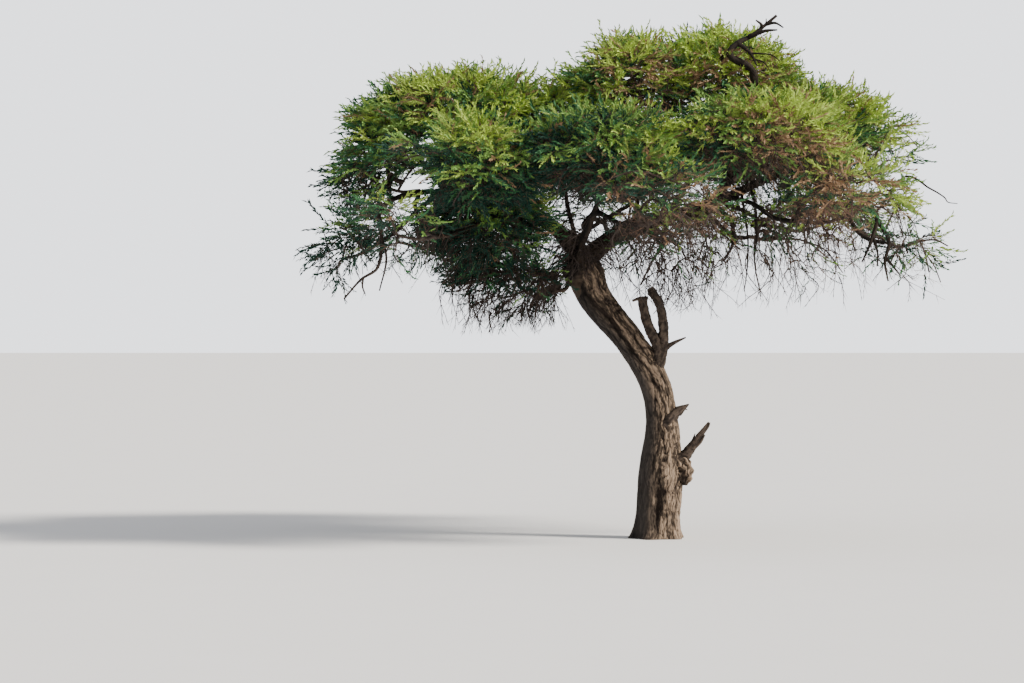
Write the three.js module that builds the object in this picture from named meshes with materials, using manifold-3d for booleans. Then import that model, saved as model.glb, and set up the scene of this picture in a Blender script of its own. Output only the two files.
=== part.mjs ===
// An old umbrella thorn acacia on a leaning trunk, in millimetres with +Z up. It is about 10 m tall and 12.6 m
// across. The origin is the middle of the flat cut under the trunk. Seen from -Y the upper trunk leans left,
// towards -X.
// The trunk forks into boughs. Each bough ends where it enters one mass of foliage, which is a stem, the twigs
// that branch from it by a seeded rule, and sprays of leaves fused to those twigs. The dense masses also have a
// smaller core that the sprays stand out of.

import * as THREE from "three";
import { mergeVertices } from "three/addons/utils/BufferGeometryUtils.js";
import Module from "manifold-3d";

const wasm = await Module();
wasm.setup();

// Clear distances: between pieces that meet, between foliage and limbs, and from each part of a mass to the border
// of its own space.
const SEAT_GAP = 0.3;
const LIMB_MARGIN = 20;
const BORDER_MARGIN = { spray: 12, twig: 36, stem: 48, core: 72 };

const GOLDEN_ANGLE = Math.PI * (3 - Math.sqrt(5));
const UP = new THREE.Vector3(0, 0, 1);

// The trunk's centre line and radius, from below the ground cut to the crotch of the boughs.
const TRUNK_STATIONS = [
  { at: [0, 0, -300], radius: 425 },
  { at: [0, 0, 350], radius: 395 },
  { at: [50, 15, 1250], radius: 420 },
  { at: [80, 35, 2250], radius: 312 },
  { at: [-85, 60, 3050], radius: 300 },
  { at: [-560, 95, 3830], radius: 280 },
  { at: [-1180, 130, 4600], radius: 310 },
  { at: [-1430, 150, 5200], radius: 350 },
  { at: [-1540, 160, 5560], radius: 190 },
];
const TRUNK_SIDES = 16;
const TRUNK_RINGS = 21;

// The roots swell at the ground, shallow flutes twist up the bole, a cleft opens low on the front, and a fold of
// old bark stands out above it.
const FLARE = { least: 19, most: 165, height: 230, roots: 5, turn: 2.6 };
const FLUTES = { count: 4, depth: 14, twist: 0.0009 };
const CLEFT = { angle: 1.62, width: 0.2, height: 640, reach: 430, depth: 95 };
const FOLD = { angle: 1.35, width: 0.28, height: 1180, reach: 190, depth: 70 };
const KNOB = { middle: [480, -60, 1310], size: [195, 180, 300] };
const GROUND_BLOCK = 3000;

// One bough carries one mass. Its radius follows from how many masses lie beyond each point of it. It enters its
// mass at a share of the way out to the mass's outline, at most outer, at most near times its own start's share
// where it starts close by, and lower than straight towards its start.
const BOUGH_RADIUS = 50;
const BOUGH_SIDES = { main: 7, last: 5 };
const BOUGH_STEP = 620;
const FEWEST_STEPS = 4;
const BOUGH_ENTRY = { outer: 0.92, near: 0.65, lower: 0.35, least: 0.1 };
const TIP_SHARE = 0.8;
const FORK_BLEND = 0.16;
const TURNING = 2;
const CROOK = { size: 0.045, fewest: 4, most: 7, lift: 0.5 };

// The masses are wider than tall, so heights count for more when the crown's space is shared out among them.
const FLATNESS = 1.5;

// How each kind of mass grows. Twigs end at evenly spread places between two heights on the mass, high and low,
// and at a share of the way out to its outline, given by ends. lift bends a twig up at its middle. core is the
// core's share of the mass. length and width are those of a spray of leaves, the width as a share of the length,
// and sides is the number of sprays beside each twig's last one. A curtain's sprays are slim bare side twigs.
// Sprays may stand a little proud of the outline, up to SPRAY_REACH times its size.
const HABITS = {
  dome: { twigs: 6, sides: 2, core: 0.8, high: 0.97, low: -0.15, ends: 0.68, lift: 0.05, length: 950, width: 0.38 },
  open: { twigs: 5, sides: 2, core: 0, high: 0.95, low: -0.5, ends: 0.72, lift: 0.14, length: 950, width: 0.38 },
  fringe: { twigs: 5, sides: 2, core: 0, high: 0.7, low: -0.95, ends: 0.76, lift: 0.1, length: 780, width: 0.32 },
  curtain: { twigs: 5, sides: 1, core: 0, high: 0.3, low: -0.97, ends: 0.78, lift: 0.12, length: 560, width: 0.12 },
};
const SPRAY_DEPTH = 0.05;
const SPRAY_WAIST = 0.4;
const SPRAY_DROOP = 0.1;
const SPRAY_REACH = 1.07;
const SPRAY_LENGTHS = { least: 0.85, most: 1.15, shortest: 0.45, shrink: 0.9 };
const SPRAY_PLACES = { from: 0.5, to: 0.85, last: 0.9 };
const SPRAY_TURN = { least: 0.6, most: 0.9, last: 0.15 };
const SPRAY_LIFT = { curtain: -0.35, other: 0.1 };
const SPRAY_FACE_LIFT = 0.4;

// The stem runs from its foot at the bough's tip past a shoulder to the hub, which lies below the middle of a mass
// that domes up and above the middle of one that hangs. Twigs leave it and each other, a little thinner each time.
const STEM_SIDES = 5;
const STEM_SHOULDER = 0.45;
const STEM_TAPER = [0.95, 0.85, 0.7, 0.6];
const HUB = { above: 0.35, below: 0.25 };
const TWIG_SIDES = 3;
const TWIG_BEND = 0.55;
const TWIG_TAPER = [0.85, 0.7, 0.55];
const TWIG_JITTER = { bearing: 0.25, reach: 0.08 };
const THINNEST_TWIG = 9;

// A place that would leave its mass's space is drawn in by small steps.
const DRAW_IN = { step: 0.04, least: 0.3 };
const CORE_ROUGHNESS = 0.12;

// Limbs further from a mass than this many times its half size can't touch it.
const NEARBY = 2;
const SEEDS = { boughs: 100, masses: 500 };

// A mass of the crown: its name and habit, the limb its bough leaves and how far along that limb, its middle, its
// half width and half depth, and how far it rises above and hangs below its middle.
function crownMass(name, kind, from, at, middle, half, [rise, drop]) {
  return { name, kind, habit: HABITS[kind], from, at, middle: new THREE.Vector3(...middle), half, rise, drop };
}

const CROWN = [
  crownMass("right_shoulder", "dome", "trunk", 0.9, [3000, 100, 7800], [1600, 1900], [1080, 950]),
  crownMass("left_dome", "dome", "trunk", 0.94, [-3850, -100, 8050], [2050, 1850], [1180, 900]),
  crownMass("saddle", "dome", "trunk", 0.97, [-1950, 250, 7850], [1450, 1800], [1130, 950]),
  crownMass("front_mid", "dome", "trunk", 0.95, [-1100, -2850, 7150], [1750, 1700], [1150, 800]),
  crownMass("back_mid", "dome", "trunk", 0.95, [-1000, 3150, 7300], [1850, 1800], [1150, 800]),
  crownMass("low_tangle", "curtain", "trunk", 0.9, [-2950, -350, 4950], [1250, 1150], [550, 900]),
  crownMass("peak_left", "dome", "right_shoulder", 0.3, [-500, -150, 8650], [1500, 1800], [1220, 1150]),
  crownMass("peak_right", "dome", "right_shoulder", 0.45, [1300, 150, 8750], [1550, 1800], [1280, 1150]),
  crownMass("front_right", "dome", "right_shoulder", 0.5, [1700, -2800, 7450], [1750, 1700], [1150, 800]),
  crownMass("back_right", "dome", "right_shoulder", 0.55, [1800, 3000, 7550], [1850, 1700], [1150, 800]),
  crownMass("right_end", "open", "right_shoulder", 0.68, [4250, -150, 7400], [1000, 1500], [1180, 900]),
  crownMass("curtain_mid", "curtain", "right_shoulder", 0.38, [450, -500, 5850], [1500, 1500], [850, 1450]),
  crownMass("curtain_right", "curtain", "right_shoulder", 0.62, [2850, -350, 6050], [1450, 1500], [850, 1500]),
  crownMass("front_left", "dome", "left_dome", 0.5, [-3700, -2600, 6950], [1750, 1650], [1150, 850]),
  crownMass("back_left", "dome", "left_dome", 0.5, [-3600, 2750, 7050], [1800, 1750], [1150, 850]),
  crownMass("left_end", "dome", "left_dome", 0.82, [-5550, 50, 7150], [1230, 1850], [1250, 900]),
  crownMass("low_green", "dome", "left_dome", 0.4, [-3350, -850, 6000], [1250, 1450], [800, 950]),
  crownMass("front_skirt", "open", "front_mid", 0.72, [-200, -4450, 6250], [1650, 1000], [950, 1050]),
  crownMass("back_skirt", "open", "back_mid", 0.72, [-300, 4750, 6350], [1800, 950], [950, 1050]),
  crownMass("front_right_skirt", "open", "front_right", 0.7, [3350, -3300, 6350], [1350, 1350], [1000, 1050]),
  crownMass("back_right_skirt", "open", "back_right", 0.7, [3550, 3250, 6450], [1350, 1400], [1000, 1050]),
  crownMass("front_left_skirt", "fringe", "front_left", 0.65, [-4900, -3100, 5950], [1050, 1150], [850, 900]),
  crownMass("back_left_skirt", "fringe", "back_left", 0.65, [-5100, 2900, 6050], [1150, 1300], [900, 950]),
  crownMass("left_skirt", "fringe", "left_end", 0.7, [-6080, -350, 5600], [800, 1250], [900, 900]),
  crownMass("right_skirt", "fringe", "right_end", 0.55, [4500, 1350, 6100], [850, 1200], [950, 1050]),
  crownMass("right_tail", "curtain", "right_end", 0.6, [5000, -450, 5500], [740, 850], [650, 850]),
];

// Dead wood: bare broken limbs and stubs. Each has a line of points with a radius at its two ends, and prongs that
// leave it in the same way. One that leaves a bough starts at a share of the way along it, given by at.
const DEADWOOD = [
  {
    name: "twin_stub",
    from: "trunk",
    line: [[-20, -75, 3400], [5, -95, 3680], [-190, -110, 4100], [-260, -115, 4350], [-310, -120, 4630]],
    radius: [115, 92],
    prongs: [
      {
        line: [[40, -70, 3420], [97, -80, 3750], [97, -75, 4170], [19, -65, 4540], [-135, -60, 4782]],
        radius: [115, 80],
      },
      { line: [[50, -80, 3600], [260, -100, 3750], [535, -120, 3880]], radius: [74, 14] },
    ],
  },
  {
    name: "fin_stub",
    from: "trunk",
    line: [[190, -40, 2330], [380, -65, 2450], [595, -85, 2590]],
    radius: [205, 12],
    prongs: [],
  },
  {
    name: "broken_limb",
    from: "trunk",
    line: [[330, -40, 1390], [570, -60, 1660], [790, -70, 1960], [985, -80, 2240]],
    radius: [150, 24],
    prongs: [{ line: [[640, -60, 1730], [800, -100, 1850], [900, -120, 2000]], radius: [62, 14] }],
  },
  {
    name: "crown_snag",
    from: "right_shoulder",
    at: 0.72,
    line: [
      [1650, -700, 7800],
      [1740, -1330, 8820],
      [1290, -1480, 9170],
      [1420, -1460, 9410],
      [1720, -1360, 9580],
      [2180, -1230, 9960],
    ],
    radius: [88, 22],
    prongs: [
      { line: [[1900, -1310, 9730], [1870, -1370, 9790], [1775, -1430, 9850]], radius: [34, 12] },
      { line: [[1980, -1290, 9790], [2150, -1330, 9810], [2300, -1350, 9720]], radius: [30, 11] },
      { line: [[1640, -1400, 9540], [1930, -1490, 9640], [2170, -1520, 9660]], radius: [44, 12] },
      { line: [[1430, -1470, 9420], [1660, -1580, 9210], [1770, -1620, 8980]], radius: [38, 12] },
    ],
  },
  {
    name: "dead_drop_left",
    from: "left_end",
    at: 0.85,
    line: [
      [-5000, -560, 6560],
      [-5330, -1020, 6260],
      [-5290, -1080, 5680],
      [-5370, -1100, 5200],
      [-5690, -1060, 4970],
      [-6010, -1000, 4610],
    ],
    radius: [48, 14],
    prongs: [
      { line: [[-5300, -1060, 5800], [-5200, -1130, 5350], [-5330, -1140, 4760]], radius: [26, 11] },
      { line: [[-5640, -1060, 5010], [-5660, -990, 4850], [-5610, -960, 4700]], radius: [19, 10] },
    ],
  },
  {
    name: "dead_drop_right",
    from: "right_tail",
    at: 0.5,
    line: [[4130, -620, 6250], [4050, -700, 5760], [3860, -740, 5320]],
    radius: [52, 14],
    prongs: [
      { line: [[4120, -640, 6200], [4370, -730, 5720], [4290, -760, 5330], [4350, -780, 4950]], radius: [42, 13] },
      { line: [[4310, -745, 5400], [4480, -720, 5200], [4600, -700, 5050]], radius: [26, 11] },
      { line: [[4070, -690, 5820], [4150, -760, 5500], [4140, -800, 5230]], radius: [26, 11] },
    ],
  },
];
const DEADWOOD_SIDES = 5;
const PRONG_SIDES = 4;
const DEADWOOD_STEPS = 2;

const MATERIALS = {
  bark: new THREE.MeshStandardMaterial({ color: 0x8a7460, roughness: 0.95, metalness: 0 }),
  deadwood: new THREE.MeshStandardMaterial({ color: 0x5b4a40, roughness: 0.95, metalness: 0 }),
  dome: new THREE.MeshStandardMaterial({ color: 0x6f8a35, roughness: 0.8, metalness: 0, side: THREE.DoubleSide }),
  open: new THREE.MeshStandardMaterial({ color: 0x557a32, roughness: 0.8, metalness: 0, side: THREE.DoubleSide }),
  fringe: new THREE.MeshStandardMaterial({ color: 0x4c6f38, roughness: 0.8, metalness: 0, side: THREE.DoubleSide }),
  curtain: new THREE.MeshStandardMaterial({ color: 0x6d5a44, roughness: 0.9, metalness: 0, side: THREE.DoubleSide }),
};

// Numbers from 0 to 1 that are the same for the same seed.
function seeded(seed) {
  let state = seed >>> 0;
  return () => {
    state = (state + 0x6d2b79f5) >>> 0;
    let mixed = state;
    mixed = Math.imul(mixed ^ (mixed >>> 15), mixed | 1);
    mixed ^= mixed + Math.imul(mixed ^ (mixed >>> 7), mixed | 61);
    return ((mixed ^ (mixed >>> 14)) >>> 0) / 4294967296;
  };
}

function mix(from, to, share) {
  return from + (to - from) * share;
}

function bump(distance) {
  return Math.exp(-distance * distance);
}

// A smooth line through a few points, as evenly numbered steps.
function smoothLine(points, steps) {
  const vectors = points.map((point) => new THREE.Vector3(...point));
  return new THREE.CatmullRomCurve3(vectors, false, "catmullrom", 0.5).getPoints(steps);
}

// The place at a share of the way along a line of points.
function alongLine(line, share) {
  const step = Math.min(Math.floor(share * (line.length - 1)), line.length - 2);
  return line[step].clone().lerp(line[step + 1], share * (line.length - 1) - step);
}

function directionAlong(line, share) {
  const step = Math.min(Math.floor(share * (line.length - 1)), line.length - 2);
  return line[step + 1].clone().sub(line[step]).normalize();
}

// The same line, a little longer at both ends.
function stretched(line, extra) {
  const longer = line.map((point) => point.clone());
  longer[0].addScaledVector(directionAlong(line, 0), -extra);
  longer[line.length - 1].addScaledVector(directionAlong(line, 1), extra);
  return longer;
}

// A closed shape whose shared corners are merged, so that it can be joined and cut.
function mergedShape(geometry) {
  geometry.deleteAttribute("normal");
  geometry.deleteAttribute("uv");
  return mergeVertices(geometry);
}

function solidOf(geometry) {
  return new wasm.Manifold(
    new wasm.Mesh({
      numProp: 3,
      vertProperties: geometry.getAttribute("position").array,
      triVerts: new Uint32Array(geometry.index.array),
    }),
  );
}

// A closed tube round a line of points. radiusAt gives the radius at a step of the line and an angle round it,
// which starts at the tube's side direction. The side direction is carried along the line without twisting.
function tube(line, radiusAt, sides) {
  const rings = line.length - 1;
  const shape = mergedShape(new THREE.CylinderGeometry(1, 1, 1, sides, rings));
  const position = shape.getAttribute("position");
  const frames = [];
  let side = new THREE.Vector3(1, 0, 0);
  if (Math.abs(directionAlong(line, 0).x) > 0.9) side = new THREE.Vector3(0, -1, 0);
  for (let step = 0; step <= rings; step++) {
    const ahead = line[Math.min(step + 1, rings)];
    const behind = line[Math.max(step - 1, 0)];
    const along = ahead.clone().sub(behind).normalize();
    side = side.clone().addScaledVector(along, -side.dot(along)).normalize();
    frames.push({ side, front: side.clone().cross(along) });
  }
  for (let i = 0; i < position.count; i++) {
    const step = Math.round((position.getY(i) + 0.5) * rings);
    const across = position.getX(i);
    const forward = position.getZ(i);
    const radius = radiusAt(step, Math.atan2(forward, across));
    const place = line[step]
      .clone()
      .addScaledVector(frames[step].side, across * radius)
      .addScaledVector(frames[step].front, forward * radius);
    position.setXYZ(i, place.x, place.y, place.z);
  }
  return solidOf(shape);
}

// A rounded lump of 80 faces, each corner placed by the function given.
function lump(placeOf) {
  const shape = mergedShape(new THREE.IcosahedronGeometry(1, 1));
  const position = shape.getAttribute("position");
  for (let i = 0; i < position.count; i++) {
    const place = placeOf(new THREE.Vector3().fromBufferAttribute(position, i));
    position.setXYZ(i, place.x, place.y, place.z);
  }
  return solidOf(shape);
}

// The largest closed piece of a solid. Loose scraps are dropped, and a sealed hollow inside it is filled.
function largestPiece(solid) {
  return solid.decompose().reduce((best, piece) => (piece.volume() > best.volume() ? piece : best));
}

// The trunk as a limb: its centre line and the radius at each step.
function trunkLimb() {
  const line = smoothLine(TRUNK_STATIONS.map((station) => station.at), TRUNK_RINGS);
  const radii = smoothLine(TRUNK_STATIONS.map((station) => [station.radius, 0, 0]), TRUNK_RINGS);
  return { name: "trunk", line, radii: radii.map((radius) => radius.x), sides: TRUNK_SIDES };
}

// The angle turns from +X to the front of the tree, -Y.
function trunkRadius(radius, height, angle) {
  const lobe = mix(FLARE.least, FLARE.most, 0.5 + 0.5 * Math.cos(FLARE.roots * angle + FLARE.turn));
  const flare = lobe * Math.exp(-Math.max(height, 0) / FLARE.height);
  const flutes = FLUTES.depth * Math.cos(FLUTES.count * angle + height * FLUTES.twist);
  const cleft = CLEFT.depth * bump((angle - CLEFT.angle) / CLEFT.width) * bump((height - CLEFT.height) / CLEFT.reach);
  const fold = FOLD.depth * bump((angle - FOLD.angle) / FOLD.width) * bump((height - FOLD.height) / FOLD.reach);
  return radius + flare + flutes - cleft + fold;
}

function trunkSolid(trunk, extra) {
  const radiusAt = (step, angle) => trunkRadius(trunk.radii[step], trunk.line[step].z, angle) + extra;
  const bole = tube(stretched(trunk.line, extra), radiusAt, trunk.sides);
  const knob = lump((corner) =>
    corner
      .multiply(new THREE.Vector3(...KNOB.size).addScalar(extra))
      .add(new THREE.Vector3(...KNOB.middle)),
  );
  const block = new THREE.BoxGeometry(GROUND_BLOCK, GROUND_BLOCK, GROUND_BLOCK).translate(0, 0, -GROUND_BLOCK / 2);
  const below = solidOf(mergedShape(block));
  return largestPiece(bole.add(knob).subtract(below));
}

function limbSolid(limb, extra = 0) {
  if (limb.name === "trunk") return trunkSolid(limb, extra);
  const parts = [limb, ...(limb.prongs ?? [])].map((part) =>
    tube(stretched(part.line, extra), (step) => part.radii[step] + extra, part.sides),
  );
  return wasm.Manifold.union(parts);
}

// How much a point belongs to a mass: the smaller, the more.
function claim(mass, point) {
  const away = point.clone().sub(mass.middle);
  away.z *= FLATNESS;
  return away.lengthSq() - mass.half[0] * mass.half[1];
}

// The distance from a point to the flat border between two masses, positive on the first one's side.
function borderDistance(mass, other, point) {
  const apart = other.middle.clone().sub(mass.middle);
  apart.z *= FLATNESS * FLATNESS;
  return (claim(other, point) - claim(mass, point)) / (2 * apart.length());
}

// A mass's outline is half an ellipsoid above its middle and half of another below it. 1 is on the outline.
function outlineShare(mass, point) {
  const away = point.clone().sub(mass.middle);
  const height = away.z > 0 ? mass.rise : mass.drop;
  return Math.hypot(away.x / mass.half[0], away.y / mass.half[1], away.z / height);
}

function inOwnSpace(mass, point, margin, reach = 1) {
  const others = CROWN.filter((other) => other !== mass);
  return outlineShare(mass, point) <= reach && others.every((other) => borderDistance(mass, other, point) > margin);
}

// The place on a mass in a direction given by its height from -1 to 1 and its bearing.
function onOutline(mass, height, bearing, share) {
  const level = Math.sqrt(1 - height * height);
  const tall = height > 0 ? mass.rise : mass.drop;
  return new THREE.Vector3(
    mass.half[0] * level * Math.cos(bearing),
    mass.half[1] * level * Math.sin(bearing),
    tall * height,
  )
    .multiplyScalar(share)
    .add(mass.middle);
}

// The same place, drawn in towards the middle until it lies in the mass's own space.
function drawnIn(mass, height, bearing, share, margin, least = DRAW_IN.least) {
  let place = onOutline(mass, height, bearing, share);
  while (share > least && !inOwnSpace(mass, place, margin)) {
    share -= DRAW_IN.step;
    place = onOutline(mass, height, bearing, share);
  }
  return place;
}

// Where a bough enters its mass: near the outline on the side it comes from, low down, or further in if that place
// belongs to a neighbour or the bough starts close by.
function rootOf(mass, start) {
  const towards = start.clone().sub(mass.middle);
  towards.z -= BOUGH_ENTRY.lower * towards.length();
  const whole = outlineShare(mass, mass.middle.clone().add(towards));
  let share = Math.min(BOUGH_ENTRY.outer, BOUGH_ENTRY.near * outlineShare(mass, start));
  for (; share > BOUGH_ENTRY.least; share -= DRAW_IN.step) {
    const root = mass.middle.clone().addScaledVector(towards, share / whole);
    if (inOwnSpace(mass, root, BORDER_MARGIN.stem)) return root;
  }
  throw new Error(mass.name + " has no room for its stem");
}

function hubOf(mass) {
  const lift = mass.kind === "curtain" ? HUB.above * mass.rise : -HUB.below * mass.drop;
  return mass.middle.clone().addScaledVector(UP, lift);
}

// A bough leaves its parent between the parent's way and its own, with TURNING times the weight on its own. It
// arrives in line with its mass's stem, and is crooked by a slow seeded wave.
function boughLimb(mass, parent, random) {
  const start = alongLine(parent.line, mass.at);
  const root = rootOf(mass, start);
  const reach = root.distanceTo(start);
  const towards = root.clone().sub(start).setLength(TURNING);
  const leaving = directionAlong(parent.line, mass.at).add(towards).normalize();
  const arriving = hubOf(mass).sub(root).normalize();
  const curve = new THREE.CubicBezierCurve3(
    start,
    start.clone().addScaledVector(leaving, reach / 3),
    root.clone().addScaledVector(arriving, -reach / 3),
    root,
  );
  const steps = Math.max(FEWEST_STEPS, Math.round(reach / BOUGH_STEP));
  const bearing = random() * 2 * Math.PI;
  const waves = mix(CROOK.fewest, CROOK.most, random());
  const line = curve.getPoints(steps).map((point, step) => {
    const share = step / steps;
    const sway = CROOK.size * reach * Math.sin(Math.PI * share) ** 2 * Math.sin(waves * share + bearing);
    return point.add(new THREE.Vector3(Math.cos(bearing), Math.sin(bearing), CROOK.lift).multiplyScalar(sway));
  });
  const radii = line.map((point, step) => boughRadius(mass, step / steps));
  return { name: mass.name, mass, line, radii, sides: carried(mass) > 1 ? BOUGH_SIDES.main : BOUGH_SIDES.last };
}

// The number of masses that a mass's bough carries in all, its own included.
function carried(mass) {
  const beyond = CROWN.filter((other) => other.from === mass.name);
  return beyond.reduce((sum, other) => sum + carried(other), 1);
}

// The wood's cross-section at a share of the way along a bough is that of all the boughs still to leave it.
function boughRadius(mass, share) {
  const own = mix(1, TIP_SHARE, share);
  const leaving = CROWN.filter((other) => other.from === mass.name).map((other) => {
    const ahead = THREE.MathUtils.clamp((other.at - share) / FORK_BLEND + 0.5, 0, 1);
    return ahead * carried(other);
  });
  return BOUGH_RADIUS * Math.sqrt(leaving.reduce((sum, part) => sum + part, own));
}

function deadLimb(piece, limbs) {
  const parent = limbs.find((limb) => limb.name === piece.from);
  const start = piece.at ? [alongLine(parent.line, piece.at).toArray()] : [];
  const part = ({ line, radius }, sides) => {
    const steps = (line.length - 1) * DEADWOOD_STEPS;
    const smooth = smoothLine(line, steps);
    const radii = smooth.map((point, step) => mix(radius[0], radius[1], step / steps));
    return { line: smooth, radii, sides };
  };
  const prongs = piece.prongs.map((prong) => part(prong, PRONG_SIDES));
  const main = part({ ...piece, line: [...start, ...piece.line] }, DEADWOOD_SIDES);
  return { name: piece.name, dead: true, ...main, prongs };
}

// Every limb's straight stretches with its widest radius there, for keeping foliage clear of it.
function stretchesOf(limb) {
  return [limb, ...(limb.prongs ?? [])].flatMap((part) =>
    part.line.slice(1).map((end, step) => ({
      span: new THREE.Line3(part.line[step], end),
      radius: Math.max(part.radii[step], part.radii[step + 1]),
    })),
  );
}

function lineClearOfLimbs(line, halfWidth, stretches) {
  const spans = line.slice(1).map((end, step) => new THREE.Line3(line[step], end));
  return stretches.every((stretch) => {
    const gap = stretch.radius + halfWidth + LIMB_MARGIN;
    return spans.every((span) => stretch.span.distanceSqToLine3(span) > gap * gap);
  });
}

// One spray of leaves: a slim blade of eight faces, widest at two fifths of its length and slightly drooping. Its
// midrib is the line from root to widest place to tip.
function spray(root, along, face, length, width) {
  const across = face.clone().cross(along).normalize();
  const normal = along.clone().cross(across);
  const midrib = [0, SPRAY_WAIST, 1].map((share) =>
    root
      .clone()
      .addScaledVector(along, share * length)
      .addScaledVector(UP, -SPRAY_DROOP * share * share * length),
  );
  const shape = mergedShape(new THREE.OctahedronGeometry(1, 0));
  const position = shape.getAttribute("position");
  const corners = [];
  for (let i = 0; i < position.count; i++) {
    const corner = new THREE.Vector3().fromBufferAttribute(position, i);
    const place = midrib[Math.round(corner.x) + 1]
      .clone()
      .addScaledVector(across, (corner.y * width * length) / 2)
      .addScaledVector(normal, (corner.z * SPRAY_DEPTH * length) / 2);
    position.setXYZ(i, place.x, place.y, place.z);
    corners.push(place);
  }
  return { shape, corners, midrib, halfWidth: (width * length) / 2 };
}

// The twigs of a mass. Each one's end is one of a set of places spread evenly over the mass, every other place
// first, and it leaves the nearest joint already grown that lies nearer the stem's foot, a little thinner than the
// wood there.
function growTwigs(mass, stem, random, stretches) {
  const habit = mass.habit;
  const foot = stem.line[0];
  const joints = [2, 3].map((step) => ({ at: stem.line[step], radius: stem.radii[step] }));
  const turn = random() * 2 * Math.PI;
  const twigs = [];
  const places = 2 * habit.twigs;
  for (let i = 0; i < places && twigs.length < habit.twigs; i++) {
    const place = i < habit.twigs ? 2 * i : 2 * i - places + 1;
    const height = mix(habit.high, habit.low, (place + 0.5) / places);
    const bearing = turn + place * GOLDEN_ANGLE + TWIG_JITTER.bearing * mix(-1, 1, random());
    const out = habit.ends + TWIG_JITTER.reach * random();
    const end = drawnIn(mass, height, bearing, out, BORDER_MARGIN.twig);
    const nearer = joints.filter((joint) => joint.at.distanceTo(foot) < end.distanceTo(foot));
    if (!nearer.length) continue;
    const start = nearer.reduce((best, joint) => (joint.at.distanceTo(end) < best.at.distanceTo(end) ? joint : best));
    const reach = start.at.distanceTo(end);
    const bend = start.at.clone().lerp(end, TWIG_BEND).addScaledVector(UP, habit.lift * reach);
    const line = [start.at, bend, end];
    const radii = TWIG_TAPER.map((taper) => Math.max(taper * start.radius, THINNEST_TWIG));
    if (!line.every((point) => inOwnSpace(mass, point, BORDER_MARGIN.twig))) continue;
    if (!lineClearOfLimbs(line, radii[0], stretches)) continue;
    twigs.push({ line, radii });
    joints.push({ at: bend, radius: radii[1] });
  }
  return twigs;
}

// The sprays of one twig: one that carries on from its end, and others on alternate sides of its outer part.
function growSprays(mass, twig, random, stretches) {
  const habit = mass.habit;
  const sprays = [];
  for (let i = 0; i <= habit.sides; i++) {
    const last = i === habit.sides;
    const share = last ? SPRAY_PLACES.last : mix(SPRAY_PLACES.from, SPRAY_PLACES.to, (i + 0.5) / habit.sides);
    const root = alongLine(twig.line, share);
    const ahead = directionAlong(twig.line, share);
    const out = root.clone().sub(mass.middle).divide(new THREE.Vector3(...mass.half, mass.rise)).normalize();
    const beside = ahead.clone().cross(out).normalize();
    const chance = random();
    const aside = (i % 2 ? 1 : -1) * mix(SPRAY_TURN.least, SPRAY_TURN.most, chance);
    const turn = last ? SPRAY_TURN.last * mix(-1, 1, chance) : aside;
    const along = ahead.multiplyScalar(Math.cos(turn)).addScaledVector(beside, Math.sin(turn));
    along.addScaledVector(UP, SPRAY_LIFT[mass.kind] ?? SPRAY_LIFT.other).normalize();
    let length = habit.length * mix(SPRAY_LENGTHS.least, SPRAY_LENGTHS.most, random());
    const face = out.addScaledVector(UP, SPRAY_FACE_LIFT).normalize();
    const fits = (made) => made.corners.every((corner) => inOwnSpace(mass, corner, BORDER_MARGIN.spray, SPRAY_REACH));
    let made = spray(root, along, face, length, habit.width);
    while (length > SPRAY_LENGTHS.shortest * habit.length && !fits(made)) {
      length *= SPRAY_LENGTHS.shrink;
      made = spray(root, along, face, length, habit.width);
    }
    if (!fits(made)) continue;
    if (!lineClearOfLimbs(made.midrib, made.halfWidth, stretches)) continue;
    sprays.push(solidOf(made.shape));
  }
  return sprays;
}

// The core of a dense mass: a lump smaller than the mass and kept inside the mass's own space.
function growCore(mass, random) {
  return lump((corner) => {
    const share = mass.habit.core * mix(1 - CORE_ROUGHNESS, 1 + CORE_ROUGHNESS, random());
    return drawnIn(mass, corner.z, Math.atan2(corner.y, corner.x), share, BORDER_MARGIN.core, 0);
  });
}

function isNear(mass, stretch) {
  const middle = stretch.span.getCenter(new THREE.Vector3());
  return middle.distanceTo(mass.middle) < NEARBY * Math.max(...mass.half, mass.rise, mass.drop);
}

// A mass: its stem, twigs, sprays and any core in one piece, cut clear of every limb.
function growMass(mass, limbs, seed) {
  const random = seeded(seed);
  const bough = limbs.find((limb) => limb.mass === mass);
  const root = bough.line[bough.line.length - 1];
  const radius = bough.radii[bough.radii.length - 1];
  const ahead = directionAlong(bough.line, 1);
  const foot = root.clone().addScaledVector(ahead, SEAT_GAP);
  const hub = hubOf(mass);
  const shoulder = foot.clone().addScaledVector(ahead, STEM_SHOULDER * foot.distanceTo(hub));
  const stem = {
    line: [foot, foot.clone().addScaledVector(ahead, 2 * radius), shoulder, hub],
    radii: STEM_TAPER.map((taper) => taper * radius),
  };
  const stretches = limbs.flatMap(stretchesOf).filter((stretch) => isNear(mass, stretch));
  const parts = [tube(stem.line, (step) => stem.radii[step], STEM_SIDES)];
  for (const twig of growTwigs(mass, stem, random, stretches)) {
    parts.push(tube(twig.line, (step) => twig.radii[step], TWIG_SIDES));
    parts.push(...growSprays(mass, twig, random, stretches));
  }
  if (mass.habit.core) parts.push(growCore(mass, random).subtract(limbSolid(bough, LIMB_MARGIN)));
  const others = limbs.filter((limb) => limb !== bough && stretchesOf(limb).some((stretch) => isNear(mass, stretch)));
  const grown = others.map((limb) => limbSolid(limb, LIMB_MARGIN));
  return largestPiece(grown.reduce((whole, limb) => whole.subtract(limb), wasm.Manifold.union(parts)));
}

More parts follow.
